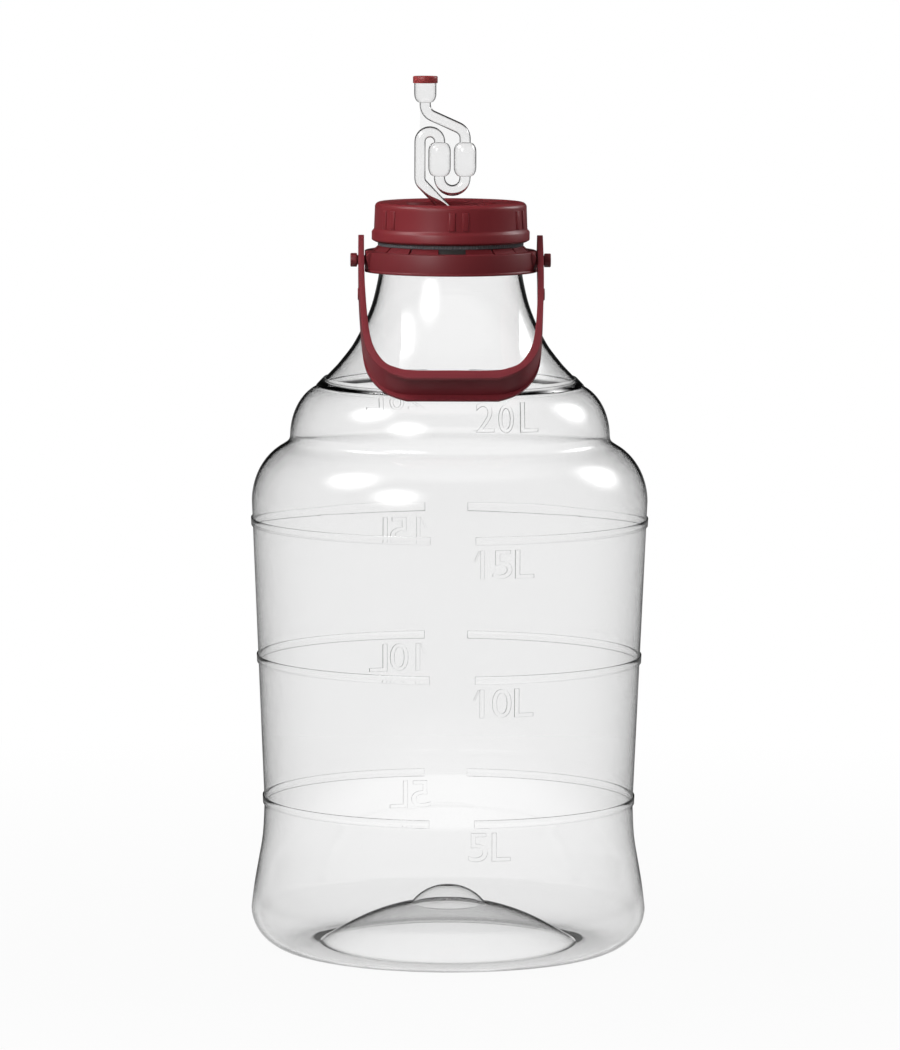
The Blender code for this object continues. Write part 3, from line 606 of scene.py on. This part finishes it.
def wrapped_sign(sign, heights, sines, turn_deg):
    """A raised sign that follows the skin, sunk a little into it."""
    builder = flat_sign(sign)
    solid = bmesh.ops.extrude_face_region(builder, geom=builder.faces[:], use_keep_orig=True)["geom"]
    bmesh.ops.translate(builder, verts=corners_of(solid), vec=(0.0, 0.0, 1.0))
    for corner in builder.verts:
        height = heights[0] + (heights[1] - heights[0]) * corner.co.y
        across = (sines[0] + (sines[1] - sines[0]) * corner.co.x) * skin_radius(heights[0])
        angle = asin(across / skin_radius(height)) + radians(turn_deg - 90.0)
        radius = skin_radius(height) + (SIGN_PROUD if corner.co.z > 0.5 else -SIGN_SUNK)
        corner.co = Vector((radius * cos(angle), radius * sin(angle), height)) * MM
    return builder


def bottle_shape():
    signs = together([wrapped_sign(*sign, turn) for sign in SIGNS for turn in (0.0, 180.0)])
    return combined("bottle_skin", blank, [("UNION", signs)])


piece("bottle_skin", bottle_shape(), CLEAR_PET, "vessel", ["bottle"], 30.0)

# %% [markdown]
# ## Thread and ratchet ring on the neck
# One start of thread runs about one and a half turns round the neck, rising 6 mm a turn. Spin can
# climb as it turns, by dvec, so one small cross-section makes the whole ridge. Under the cap's edge
# the ring that holds the collar has fine upright teeth, which look grey from a distance.

# %% Neck thread
THREAD_PITCH = 6.0


def thread_ridge(section, turns, steps):
    """A ridge of thread from its (radius, height) section."""
    builder = bmesh.new()
    corners = [builder.verts.new((radius * MM, 0.0, height * MM)) for radius, height in section]
    face = builder.faces.new(corners)
    bmesh.ops.spin(builder, geom=[face] + face.verts[:] + face.edges[:], cent=(0.0, 0.0, 0.0),
                   axis=(0.0, 0.0, 1.0), dvec=(0.0, 0.0, THREAD_PITCH * MM * turns / steps),
                   angle=2.0 * pi * turns, steps=steps, use_merge=False)
    bmesh.ops.remove_doubles(builder, verts=builder.verts, dist=0.001 * MM)
    return builder


piece("neck_thread", thread_ridge([(47.2, 494.2), (49.3, 494.9), (49.3, 495.7), (47.2, 496.4)], 1.6, 150),
      CLEAR_PET, "vessel")

# %% Ring under the cap
TOOTH_COLUMNS = 300
TOOTH_DEPTH = 0.5


def toothed_ring():
    """A ring with fine upright teeth: every other column of its outer side is pushed in."""
    outline = [(49.05, 487.1), (49.4, 487.1), (50.1, 487.6), (50.2, 490.6), (49.9, 491.0), (49.05, 491.1)]
    builder = turned(outline, TOOTH_COLUMNS)
    for corner in builder.verts:
        column = round(degrees(atan2(corner.co.x, -corner.co.y)) / (360.0 / TOOTH_COLUMNS))
        if column % 2 and corner.co.xy.length > 49.6 * MM:
            corner.co.xy *= 1.0 - TOOTH_DEPTH * MM / corner.co.xy.length
    return builder


piece("toothed_ring", toothed_ring(), KNURLED_PET, "vessel", (), 20.0)
# The foot's dark grey is painted shade for the shadow in the collar's notches
piece("ring_foot", turned([(49.05, 483.6), (49.35, 483.6), (49.35, 487.0), (49.05, 487.0)], 120), PAINTED_SHADE_PET,
      "vessel")

# %% [markdown]
# ## Handle collar
# The collar is moulded in one: a band with a flat web on top, a sleeve that clips round the neck
# with slit fingers, ribs underneath, and at each side a flat boss with a pivot pin. It is turned as
# one section, the blocks and pins are joined to it, and the slits and the two notches are cut.

# %% Collar section, flats, bosses and pins
PIVOT_HEIGHT = 477.0
FLAT_FACE = 59.0
COLLAR_SECTION = [
    (49.45, 472.0), (51.6, 472.0), (51.6, 481.0), (52.0, 481.4), (56.5, 481.4), (56.9, 481.0),
    (56.9, 469.4), (59.5, 469.4), (59.9, 469.7), (59.9, 470.5), (59.5, 471.0), (59.3, 471.3),
    (59.3, 482.9), (59.1, 483.5), (58.5, 483.8), (53.6, 483.8), (50.2, 486.9), (49.8, 487.1),
    (49.45, 487.0)]


def side_flat(side):
    return bar(side * FLAT_FACE, side * 63.0, -12.5, 12.5, 468.0, 485.0)


def side_boss(side):
    """A wedge that grows out of the band upwards, with a sloped outer top edge."""
    builder = bmesh.new()
    corners = []
    for face, half, height in ((56.2, 18.6, 470.2), (FLAT_FACE, 23.0, 483.4)):
        for x, y in ((52.4, -half), (face, -half), (face, half), (52.4, half)):
            corners.append(builder.verts.new((side * x * MM, y * MM, height * MM)))
    bmesh.ops.convex_hull(builder, input=corners)
    everything = builder.verts[:] + builder.edges[:] + builder.faces[:]
    cut = bmesh.ops.bisect_plane(builder, geom=everything, clear_outer=True, plane_no=(side * 3.4, 0.0, 3.2),
                                 plane_co=(side * FLAT_FACE * MM, 0.0, 480.0 * MM))["geom_cut"]
    rim = [part for part in cut if isinstance(part, bmesh.types.BMEdge)]
    bmesh.ops.contextual_create(builder, geom=rim)
    bmesh.ops.recalc_face_normals(builder, faces=builder.faces)
    rounded(builder, [edge for edge in builder.edges if edge.calc_face_angle(0.0) > 0.3], 0.4)
    return builder


def pivot_pin(side):
    """A round pin along X with a rounded button head."""
    outline = [(0.0, 55.4), (3.3, 55.4), (3.3, 64.0), (3.6, 64.3), (4.35, 64.3), (4.75, 64.7), (4.75, 68.2)]
    outline += ellipse_arc((3.95, 68.1), (0.8, 0.8), 0.0, 90.0, 4)[1:] + [(0.0, 68.9)]
    pin = turned(outline, 40)
    sideways = Matrix.Rotation(side * pi / 2.0, 4, "Y")
    pin.transform(Matrix.Translation((0.0, 0.0, PIVOT_HEIGHT * MM)) @ sideways)
    return pin


print("collar section:", len(COLLAR_SECTION), "points")

# %% Collar ribs, slits and notches
RIB_COUNT = 12
SLIT_HALF, SLIT_FIRST_DEG, SLIT_STEP_DEG = 0.85, 10.0, 22.857
CUT_TOP = 488.1


def collar_ribs():
    ribs = []
    for index in range(RIB_COUNT):
        rib = bar(50.8, 57.7, -0.8, 0.8, 473.0, 482.2)
        rib.transform(Matrix.Rotation(2.0 * pi * (index + 0.5) / RIB_COUNT, 4, "Z"))
        ribs.append(rib)
    return together(ribs)


def finger_cuts():
    """Six slits a side between the clip fingers, and a wide notch at the front and the back."""
    cuts = []
    for side in (-1.0, 1.0):
        for index in range(1, 7):
            slit = bar(-SLIT_HALF, SLIT_HALF, -55.4, -47.4, 482.2, CUT_TOP)
            angle = radians(side * (SLIT_FIRST_DEG + SLIT_STEP_DEG * index))
            slit.transform(Matrix.Rotation(angle, 4, "Z"))
            cuts.append(slit)
        cuts.append(bar(-9.3, 9.3, side * 47.4, side * 54.4, 483.9, CUT_TOP))
    return together(cuts)


collar_mesh = combined("neck_collar", turned(COLLAR_SECTION, 144), [
    ("DIFFERENCE", pair(side_flat)), ("UNION", collar_ribs()), ("UNION", pair(side_boss)),
    ("UNION", pair(pivot_pin)), ("DIFFERENCE", finger_cuts())])
piece("neck_collar", collar_mesh, RED_COLLAR, "collar", ["handle_collar"], 32.0)

# %% [markdown]
# ## Swinging handle
# The handle is a strap about 22 mm wide that deepens into a channel at the grip, so that it is stiff and
# light there. Its loop is drawn flat, as it would hang straight down, and extruded by the strap's
# width. Then the channel and the keyholes are cut, and the loop is leaned on the shoulder.

# %% Handle outline
STRAP_INSIDE = [(59.5, -16.1), (59.4, 15.0), (58.7, 45.0), (56.7, 80.0), (53.4, 102.0), (46.4, 118.0),
                (38.0, 124.3), (27.0, 127.1), (0.0, 127.2)]
STRAP_OUTSIDE = [(63.5, -16.1), (63.5, 15.0), (62.9, 45.0), (60.9, 84.0), (58.3, 103.9), (52.9, 117.2),
                 (45.6, 126.6), (39.0, 131.4), (31.0, 135.0)]
WEB_OUTSIDE = [(61.2, 83.6), (57.0, 104.0), (49.6, 119.2), (40.0, 127.0), (27.0, 129.8), (0.0, 129.9)]
GRIP_OUTSIDE = 135.0
STRAP_HALF, CHANNEL_HALF = 10.8, 8.9
EAR_END, EAR_ROUNDING = 16.1, 10.2


def both_sides(half):
    """Complete a loop's outline from its right half."""
    return half + [(-x, y) for x, y in reversed(half) if x > 0.0]


def strap():
    """The loop as a straight block with rounded ears and softened edges."""
    inside = both_sides(smooth_curve(STRAP_INSIDE, 6))
    outside = both_sides(smooth_curve(STRAP_OUTSIDE, 6) + [(0.0, GRIP_OUTSIDE)])
    builder = block(inside + outside[::-1], -STRAP_HALF, STRAP_HALF)
    ears = []
    for edge in builder.edges:
        ends = [corner.co / MM for corner in edge.verts]
        if all(abs(end.y + EAR_END) < 0.01 for end in ends) and abs(ends[0].z - ends[1].z) < 0.01:
            ears.append(edge)
    rounded(builder, ears, EAR_ROUNDING, 9)
    rounded(builder, [edge for edge in builder.edges if edge.calc_face_angle(0.0) > radians(60.0)], 0.45)
    return builder


print("handle loop:", len(strap().faces), "faces")

# %% Handle cuts
CHANNEL_START, PAST_GRIP = 83.6, 145.0
PIN_HOLE, HEAD_HOLE, HOLES_APART, NECK_HALF = 3.7, 5.3, 9.8, 3.0
HANDLE_LEAN_DEG = 53.4


def channel():
    beyond = [(-75.0, CHANNEL_START), (-75.0, PAST_GRIP), (75.0, PAST_GRIP), (75.0, CHANNEL_START)]
    return block(both_sides(smooth_curve(WEB_OUTSIDE, 6)) + beyond, -CHANNEL_HALF, CHANNEL_HALF)


def keyholes():
    """A round hole for the pin, a narrow neck, and the larger hole that the pin's head goes through."""
    small_end, large_end = degrees(asin(NECK_HALF / PIN_HOLE)), degrees(asin(NECK_HALF / HEAD_HOLE))
    outline = ellipse_arc((0.0, 0.0), (PIN_HOLE,) * 2, small_end, 360.0 - small_end, 20)
    outline += ellipse_arc((HOLES_APART, 0.0), (HEAD_HOLE,) * 2, large_end - 180.0, 180.0 - large_end, 20)
    builder = block(outline, -80.0, 80.0)
    builder.transform(Matrix(((0, 0, 1, 0), (1, 0, 0, 0), (0, 1, 0, 0), (0, 0, 0, 1))))
    return builder


def side_pad(side):
    """A small round pad on the outer face, below the keyhole."""
    pad = turned([(0.0, 61.0), (4.15, 61.0), (4.15, 63.6), (3.75, 63.9), (0.0, 63.9)], 28)
    pad.transform(Matrix.Translation((0.0, 36.0 * MM, 0.0)) @ Matrix.Rotation(side * pi / 2.0, 4, "Y"))
    return pad


handle_mesh = combined("bail_strap", strap(), [
    ("UNION", pair(side_pad)), ("DIFFERENCE", channel()), ("DIFFERENCE", keyholes())])
lean = Matrix.Rotation(radians(-HANDLE_LEAN_DEG), 4, "X") @ Matrix.Rotation(-pi / 2.0, 4, "X")
handle_mesh.transform(Matrix.Translation((0.0, 0.0, PIVOT_HEIGHT * MM)) @ lean)
piece("bail_strap", handle_mesh, RED_HANDLE, "handle", ["bail_handle"], 30.0)

# %% [markdown]
# ## Screw cap
# The cap is turned as one section: a flange at the foot, a ribbed skirt, a rounded shoulder, a shallow
# raised rim, the plate, and a sunk middle with a hole for the grommet. Pairs of grip ribs stand on
# the skirt, raised from its own faces like the litre bands. A ridge of thread runs inside.

# %% Cap section and ribs
RIB_FOOT, RIB_TOP = 499.6, 512.2
RIB_PROUD, RIB_ROUNDING = 0.8, 0.6


def cap_section():
    outline = [(50.5, 490.1), (51.4, 489.8), (52.0, 489.9), (54.0, 491.0), (54.3, 491.5), (54.3, 496.6),
               (54.0, 497.3), (52.9, 498.4), (52.75, 498.9), (52.7, RIB_FOOT), (52.2, RIB_TOP)]
    outline += ellipse_arc((48.8, 513.6), (3.4, 3.4), 8.0, 90.0, 7)
    outline += [(47.6, 517.0), (47.0, 516.8), (46.6, 516.2), (46.2, 516.0), (31.8, 516.0), (31.2, 515.6)]
    outline += [(29.9, 503.9), (29.2, 503.1), (28.4, 503.0), (7.0, 503.0), (6.5, 502.7), (6.4, 502.2),
                (6.4, 500.4), (31.4, 500.4), (31.8, 500.8), (33.3, 513.2), (33.8, 513.6), (49.8, 513.6),
                (50.3, 513.1)]
    return outline


def on_rib(face):
    """True on the two segments of skirt that carry each rib: pairs 10 degrees apart, six times round."""
    middle = face.calc_center_median()
    angle = degrees(atan2(middle.x, -middle.y))
    outside = middle.xy.length / MM > 51.6
    return outside and between(face.verts, RIB_FOOT, RIB_TOP) and any(
        abs((angle - 60.0 * pair_index - side + 180.0) % 360.0 - 180.0) < 2.5
        for pair_index in range(6) for side in (0.0, 10.0))


def ribbed_cap():
    builder = turned(cap_section(), 144)
    ribs = [face for face in builder.faces if on_rib(face)]
    raise_region(builder, ribs, RIB_PROUD, 0.0, RIB_ROUNDING, 3)
    return builder


piece("ribbed_cap", ribbed_cap(), RED_CAP, "cap", ["screw_cap"], 30.0)
piece("cap_thread", thread_ridge([(50.6, 492.4), (49.65, 493.0), (49.65, 493.6), (50.6, 494.2)], 1.4, 130),
      RED_CAP, "cap")

# %% [markdown]
# ## Seal and grommet
# The foam seal is a flat ring that the plate presses on the mouth. The grommet is a rubber ring whose
# groove grips the edge of the cap's hole, with a short lip that hugs the airlock's stem.

# %% Seal and grommet
seal_outline = [(44.8, 511.7), (49.4, 511.7), (49.6, 511.9), (49.6, 513.1), (49.4, 513.3), (44.8, 513.3),
                (44.6, 513.1), (44.6, 511.9)]
piece("foam_seal", turned(seal_outline, 120), WHITE_FOAM, "seal", ["cap_gasket"])
grommet_outline = [(4.2, 497.8), (7.4, 497.8), (8.0, 498.3), (8.0, 499.7), (7.7, 500.1), (6.0, 500.1),
                   (6.0, 503.3), (8.2, 503.3), (8.6, 503.6), (8.5, 504.4), (7.6, 505.0), (5.4, 505.3),
                   (5.0, 505.6), (4.4, 505.6), (4.2, 505.4)]
piece("rubber_grommet", turned(grommet_outline, 48), GREY_RUBBER, "grommet",
      ["airlock_grommet"])

# %% [markdown]
# ## Airlock
# The airlock is two clear halves welded along a flat web: a tube that falls from an open cup, drops
# through a first bulb, turns up through a second one, loops over and goes down into the stem. Water
# in the bend lets gas out and no air in. The route is stations with a place, a heading and a radius.
# One circle is made at the cup's mouth. Its edges are extruded again and again, and each new ring is
# moved to the next station, so every corner keeps its place in the ring and nothing can twist.

# %% Airlock route
CUP_ACROSS, TRAP_CENTRE = -17.8, (0.9, 533.6)
OFFSET_BEND, TRAP_BEND, RETURN_BEND, FOOT_BEND = 8.3, 8.75, 6.72, 6.0
OFFSET_SLOPE, FOOT_SLOPE = 24.3, 46.5


def leg(across, heading, rows):
    """Stations on an upright run, from (height, radius) rows."""
    return [(across, height, heading, radius) for height, radius in rows]


def bend(centre, bend_radius, start_deg, end_deg, radius):
    """Stations round a bend, every 9 degrees or so."""
    steps = max(3, round(abs(end_deg - start_deg) / 9.0))
    turn = 90.0 if end_deg > start_deg else -90.0
    angles = [start_deg + (end_deg - start_deg) * step / steps for step in range(steps + 1)]
    return [(centre[0] + bend_radius * cos(radians(angle)), centre[1] + bend_radius * sin(radians(angle)),
             angle + turn, radius) for angle in angles]


def swelling(edge, full, narrow, wide):
    """Rows that round out from the tube to a bulb's full width, with a small fillet at the tube."""
    angles = [radians(degree) for degree in (8.0, 20.0, 34.0, 48.0, 62.0, 76.0, 90.0)]
    return [(edge, narrow)] + [(edge + (full - edge) * (1.0 - cos(angle)),
                                narrow + (wide - narrow) * sin(angle)) for angle in angles]


def airlock_stations(wall_thickness):
    """The whole route; a wall above zero gives the bore, run past both ends."""
    tube, cup, bulb = 3.83 - wall_thickness, 7.6 - wall_thickness, 7.75 - wall_thickness
    past = 2.0 if wall_thickness > 0.0 else 0.0
    slope, foot = 90.0 - OFFSET_SLOPE, 90.0 - FOOT_SLOPE
    left, right = TRAP_CENTRE[0] - TRAP_BEND, TRAP_CENTRE[0] + TRAP_BEND
    lower, upper = swelling(534.6, 540.7, tube, bulb), swelling(557.6, 551.5, tube, bulb)
    stations = leg(CUP_ACROSS, -90.0, (swelling(585.1, 591.2, tube, cup) + [(601.4 + past, cup)])[::-1])
    stations += bend((CUP_ACROSS + OFFSET_BEND, 583.56), OFFSET_BEND, 180.0, 180.0 + slope, tube)
    stations += bend((right - OFFSET_BEND, 560.5), OFFSET_BEND, slope, 0.0, tube)
    stations += leg(right, -90.0, upper + lower[::-1])
    stations += bend(TRAP_CENTRE, TRAP_BEND, 0.0, -180.0, tube)
    stations += leg(left, 90.0, lower + upper[::-1])
    stations += bend((left - RETURN_BEND, 558.3), RETURN_BEND, 0.0, 180.0, tube)
    stations += bend((left - 2.0 * RETURN_BEND + FOOT_BEND, 533.3), FOOT_BEND, 180.0, 180.0 + foot, tube)
    stations += bend((-FOOT_BEND, 506.1), FOOT_BEND, foot, 0.0, tube)
    return stations + leg(0.0, -90.0, [(478.0 - past, tube)])


print("airlock route:", len(airlock_stations(0.0)), "stations")

# %% Airlock body
TUBE_SIDES = 36
AIRLOCK_WALL = 0.6


def ring_frame(station):
    """Where a unit circle has to go to become the ring at a station."""
    across, height, heading, radius = station
    place = Matrix.Translation(Vector((across, 0.0, height)) * MM)
    return place @ Matrix.Rotation(radians(90.0 - heading), 4, "Y") @ Matrix.Scale(radius, 4)


def skinned(stations):
    """A closed tube: one ring, extruded from station to station, and a cap at each end."""
    builder = bmesh.new()
    bmesh.ops.create_circle(builder, segments=TUBE_SIDES, radius=MM, matrix=ring_frame(stations[0]))
    first = edges = builder.edges[:]
    for before, station in zip(stations, stations[1:]):
        grown = bmesh.ops.extrude_edge_only(builder, edges=edges)["geom"]
        corners = corners_of(grown)
        edges = [part for part in grown
                 if isinstance(part, bmesh.types.BMEdge) and set(part.verts) <= set(corners)]
        step = ring_frame(station) @ ring_frame(before).inverted()
        bmesh.ops.transform(builder, verts=corners, matrix=step)
    for rim in (first, edges):
        bmesh.ops.contextual_create(builder, geom=rim)
    return builder


def web_plate():
    """The flat plate between the bends, 1 mm thick."""
    corners = [(-21.3, 586.0), (-21.3, 530.5), (-7.0, 515.5), (1.0, 524.0), (9.6, 534.0), (9.6, 561.0),
               (8.0, 566.3), (-13.5, 576.2), (-17.8, 583.0), (-17.8, 586.0)]
    builder = block(corners, -0.5, 0.5)
    builder.transform(Matrix.Rotation(pi / 2.0, 4, "X"))
    return builder


airlock_mesh = combined("airlock_body", skinned(airlock_stations(0.0)), [
    ("UNION", web_plate()), ("DIFFERENCE", skinned(airlock_stations(AIRLOCK_WALL)))])
piece("airlock_body", airlock_mesh, CLEAR_STYRENE, "airlock", ["airlock"], 40.0)

# %% [markdown]
# The dust cap is a small moulded lid. It is loose on the cup, because gas has to leave under it.

# %% Dust cap
def dust_cap():
    outline = [(0.0, 602.2), (7.6, 602.2), (7.95, 601.9), (7.95, 598.7), (8.1, 598.5), (8.4, 598.5),
               (8.5, 598.7), (8.5, 602.6), (8.35, 603.0), (7.9, 603.2), (0.0, 603.2)]
    builder = turned(outline, 64)
    builder.transform(Matrix.Translation((CUP_ACROSS * MM, 0.0, 0.0)))
    return builder


piece("dust_cap", dust_cap(), RED_LID, "dust_cap", ["airlock_dust_cap"])

# %% [markdown]
# ## Floor, world and lamps
# Clear things are shown by what is behind them and by what they reflect. Light Path tells those rays
# apart. Rays from the camera, and rays that came straight through clear plastic, see a white ground
# at a strength of 1. Rays that the plastic has mirrored see a dim room, or clear walls would vanish.
# Bending into plastic counts as glossy too, so it is Glossy Depth, the number of mirrorings, that
# tells: after an odd number a ray is turned back, and after an even one it goes straight on again.
# Near the bottle the floor keeps a little of its own shading, which holds the shadow, and further
# out it fades into the plain white ground. To mirrored rays the floor is a painted glow instead: a
# painted pool of light in front of the bottle, seen in the reflections on its foot, and painted dim
# grey further out, darker towards the camera.

# %% Floor
FLOOR_HALF = 6.0
# Middle and grey of the painted pool of light that mirrored rays see on the floor
PAINTED_POOL_PLACE, PAINTED_POOL_GREY = (0.0, -0.3, 0.0), 0.9


def maths(tree, operation, first, second):
    return add_node(tree, "ShaderNodeMath", {0: first, 1: second}, operation=operation).outputs["Value"]


def mirrored(tree, path):
    """One for light mirrored an odd number of times, and zero for any other."""
    return maths(tree, "MODULO", path.outputs["Glossy Depth"], 2.0)


def glow(tree, colour):
    return add_node(tree, "ShaderNodeEmission", {"Color": rgba(colour), "Strength": 1.0}).outputs["Emission"]


def mixed(tree, share, first, second):
    return add_node(tree, "ShaderNodeMixShader", {0: share, 1: first, 2: second}).outputs["Shader"]


def pale_floor():
    material, tree, shader = new_material("pale_matt_floor")
    plug(tree, shader, {"Base Color": rgba("#7e7e7d"), "Roughness": 0.9})
    path = add_node(tree, "ShaderNodeLightPath")
    place = add_node(tree, "ShaderNodeTexCoord").outputs["Object"]
    distance = add_node(tree, "ShaderNodeVectorMath", {0: place}, operation="LENGTH").outputs["Value"]
    seen = maths(tree, "MAXIMUM", path.outputs["Is Camera Ray"], path.outputs["Is Transmission Ray"])
    white_share = maths(tree, "MULTIPLY", seen, ramp(tree, distance, 0.25, 1.1, 0.955, 1.0))
    lit = mixed(tree, white_share, shader.outputs["BSDF"], glow(tree, 1.0))
    # Mirrored rays see the floor as a painted glow: a painted pool of light in front of the bottle, and
    # painted dim grey further out, darker towards the camera
    depth = add_node(tree, "ShaderNodeSeparateXYZ", {"Vector": place}).outputs["Y"]
    painted_dim_floor = ramp(tree, depth, -2.5, 2.5, 0.05, 0.22)
    from_pool = add_node(tree, "ShaderNodeVectorMath", {0: place, 1: PAINTED_POOL_PLACE}, operation="DISTANCE")
    painted_pool_edge = ramp(tree, from_pool.outputs["Value"], 0.32, 0.72)
    painted_floor_glow = glow(tree, blend(tree, painted_pool_edge, PAINTED_POOL_GREY, painted_dim_floor))
    plug(tree, tree.nodes["Material Output"], {"Surface": mixed(tree, mirrored(tree, path), lit, painted_floor_glow)})
    return material


floor_builder = bmesh.new()
bmesh.ops.create_grid(floor_builder, x_segments=1, y_segments=1, size=FLOOR_HALF)
floor_mesh = bpy.data.meshes.new("floor")
floor_builder.to_mesh(floor_mesh)
floor_builder.free()
floor_mesh.materials.append(pale_floor())
floor = placed("floor", floor_mesh)
floor.location.z = -0.2 * MM
print("floor is", 2.0 * FLOOR_HALF, "m across")

# %% [markdown]
# Light that goes straight through the bottle finds the white ground up to 5 degrees above the
# horizon, and a dark ceiling from 15 degrees up. So a thick or sloping wall, which turns some rays up
# to the ceiling, draws black lines round the neck. Mirrored rays find the dim room's floor below the
# horizon and its dark ceiling above it. Everything matt is lit by an even grey sky.

# %% World
def by_rise(tree, height, low_deg, high_deg, low_grey, high_grey):
    """A grey that changes between two angles above the horizon."""
    share = ramp(tree, height, sin(radians(low_deg)), sin(radians(high_deg)))
    return blend(tree, share, low_grey, high_grey)


def studio_world():
    world = bpy.data.worlds.new("studio")
    world.use_nodes = True
    tree = world.node_tree
    path = add_node(tree, "ShaderNodeLightPath")
    coords = add_node(tree, "ShaderNodeTexCoord")
    height = add_node(tree, "ShaderNodeSeparateXYZ", {"Vector": coords.outputs["Generated"]}).outputs["Z"]
    behind = by_rise(tree, height, 5.0, 15.0, 1.0, 0.01)
    around = by_rise(tree, height, -4.0, 2.0, 0.13, 0.008)
    sky = ramp(tree, height, 0.0, 1.0, 0.26, 0.65)
    through = blend(tree, path.outputs["Is Transmission Ray"], sky, behind)
    room = blend(tree, mirrored(tree, path), through, around)
    colour = blend(tree, path.outputs["Is Camera Ray"], room, 1.0)
    plug(tree, tree.nodes["Background"], {"Color": colour, "Strength": 1.0})
    return world


bpy.context.scene.world = studio_world()
print("world:", bpy.context.scene.world.name)

# %% [markdown]
# Three round soft boxes light the bottle from the left, from beside the camera and from behind on the
# right. Each is brightest in its middle and fades to its rim, so its reflection has a soft edge.
# Their places come from the bright spots on the shoulders.

# %% Lamps
LAMP_DISTANCE, LAMP_AIM = 1.8, Vector((0.0, 0.0, 0.38))
LAMP_PEAK = 2.05


def soft_box(name, azimuth_deg, rise_deg, across, power):
    """A round lamp that faces the bottle; azimuth counts from the camera's side towards the right."""
    data = bpy.data.lights.new(name, "AREA")
    data.shape = "DISK"
    data.size = across
    data.energy = power
    data.use_nodes = True
    tree = data.node_tree
    spot = add_node(tree, "ShaderNodeNewGeometry")
    from_middle = add_node(tree, "ShaderNodeVectorMath", {0: spot.outputs["Parametric"], 1: (0.5, 0.5, 0.0)},
                           operation="DISTANCE")
    inwards = ramp(tree, from_middle.outputs["Value"], 0.0, 0.5, LAMP_PEAK, 0.0)
    plug(tree, tree.nodes["Emission"], {"Strength": maths(tree, "POWER", inwards, 3.0)})
    lamp = placed(name, data)
    azimuth, rise = radians(azimuth_deg), radians(rise_deg)
    towards = Vector((sin(azimuth) * cos(rise), -cos(azimuth) * cos(rise), sin(rise)))
    lamp.location = LAMP_AIM + towards * LAMP_DISTANCE
    lamp.rotation_euler = towards.to_track_quat("Z", "Y").to_euler()
    lamp.visible_camera = False
    lamp.visible_transmission = False


soft_box("soft_box_left", -75.0, 42.0, 1.60, 20.0)
soft_box("soft_box_front", -33.5, 25.5, 1.50, 17.0)
soft_box("soft_box_back_right", 113.0, 28.0, 1.60, 18.0)

# %% [markdown]
# ## Camera
# The photograph was taken with a long lens from about 4.6 m away and 6 degrees above the middle, as
# the ellipses of the litre bands show. The camera stands a degree to the left of the handle's middle
# and is tilted by a fifth of a degree.

# %% Camera
CAMERA_PLACE, CAMERA_AIM = Vector((-0.07972, -4.564, 0.7656)), Vector((0.00028, 0.0, 0.29396))
CAMERA_TILT_DEG = 0.22


def studio_camera():
    data = bpy.data.cameras.new("camera")
    data.lens = 228.0
    data.sensor_width = 36.0
    data.clip_start = 0.1
    data.clip_end = 40.0
    camera = placed("camera", data)
    look = (CAMERA_PLACE - CAMERA_AIM).to_track_quat("Z", "Y").to_matrix().to_4x4()
    tilt = Matrix.Rotation(radians(CAMERA_TILT_DEG), 4, "Z")
    camera.matrix_world = Matrix.Translation(CAMERA_PLACE) @ look @ tilt
    return camera


bpy.context.scene.camera = studio_camera()
bpy.context.scene.view_settings.view_transform = "Standard"
print("camera at", [round(value, 3) for value in bpy.context.scene.camera.location])
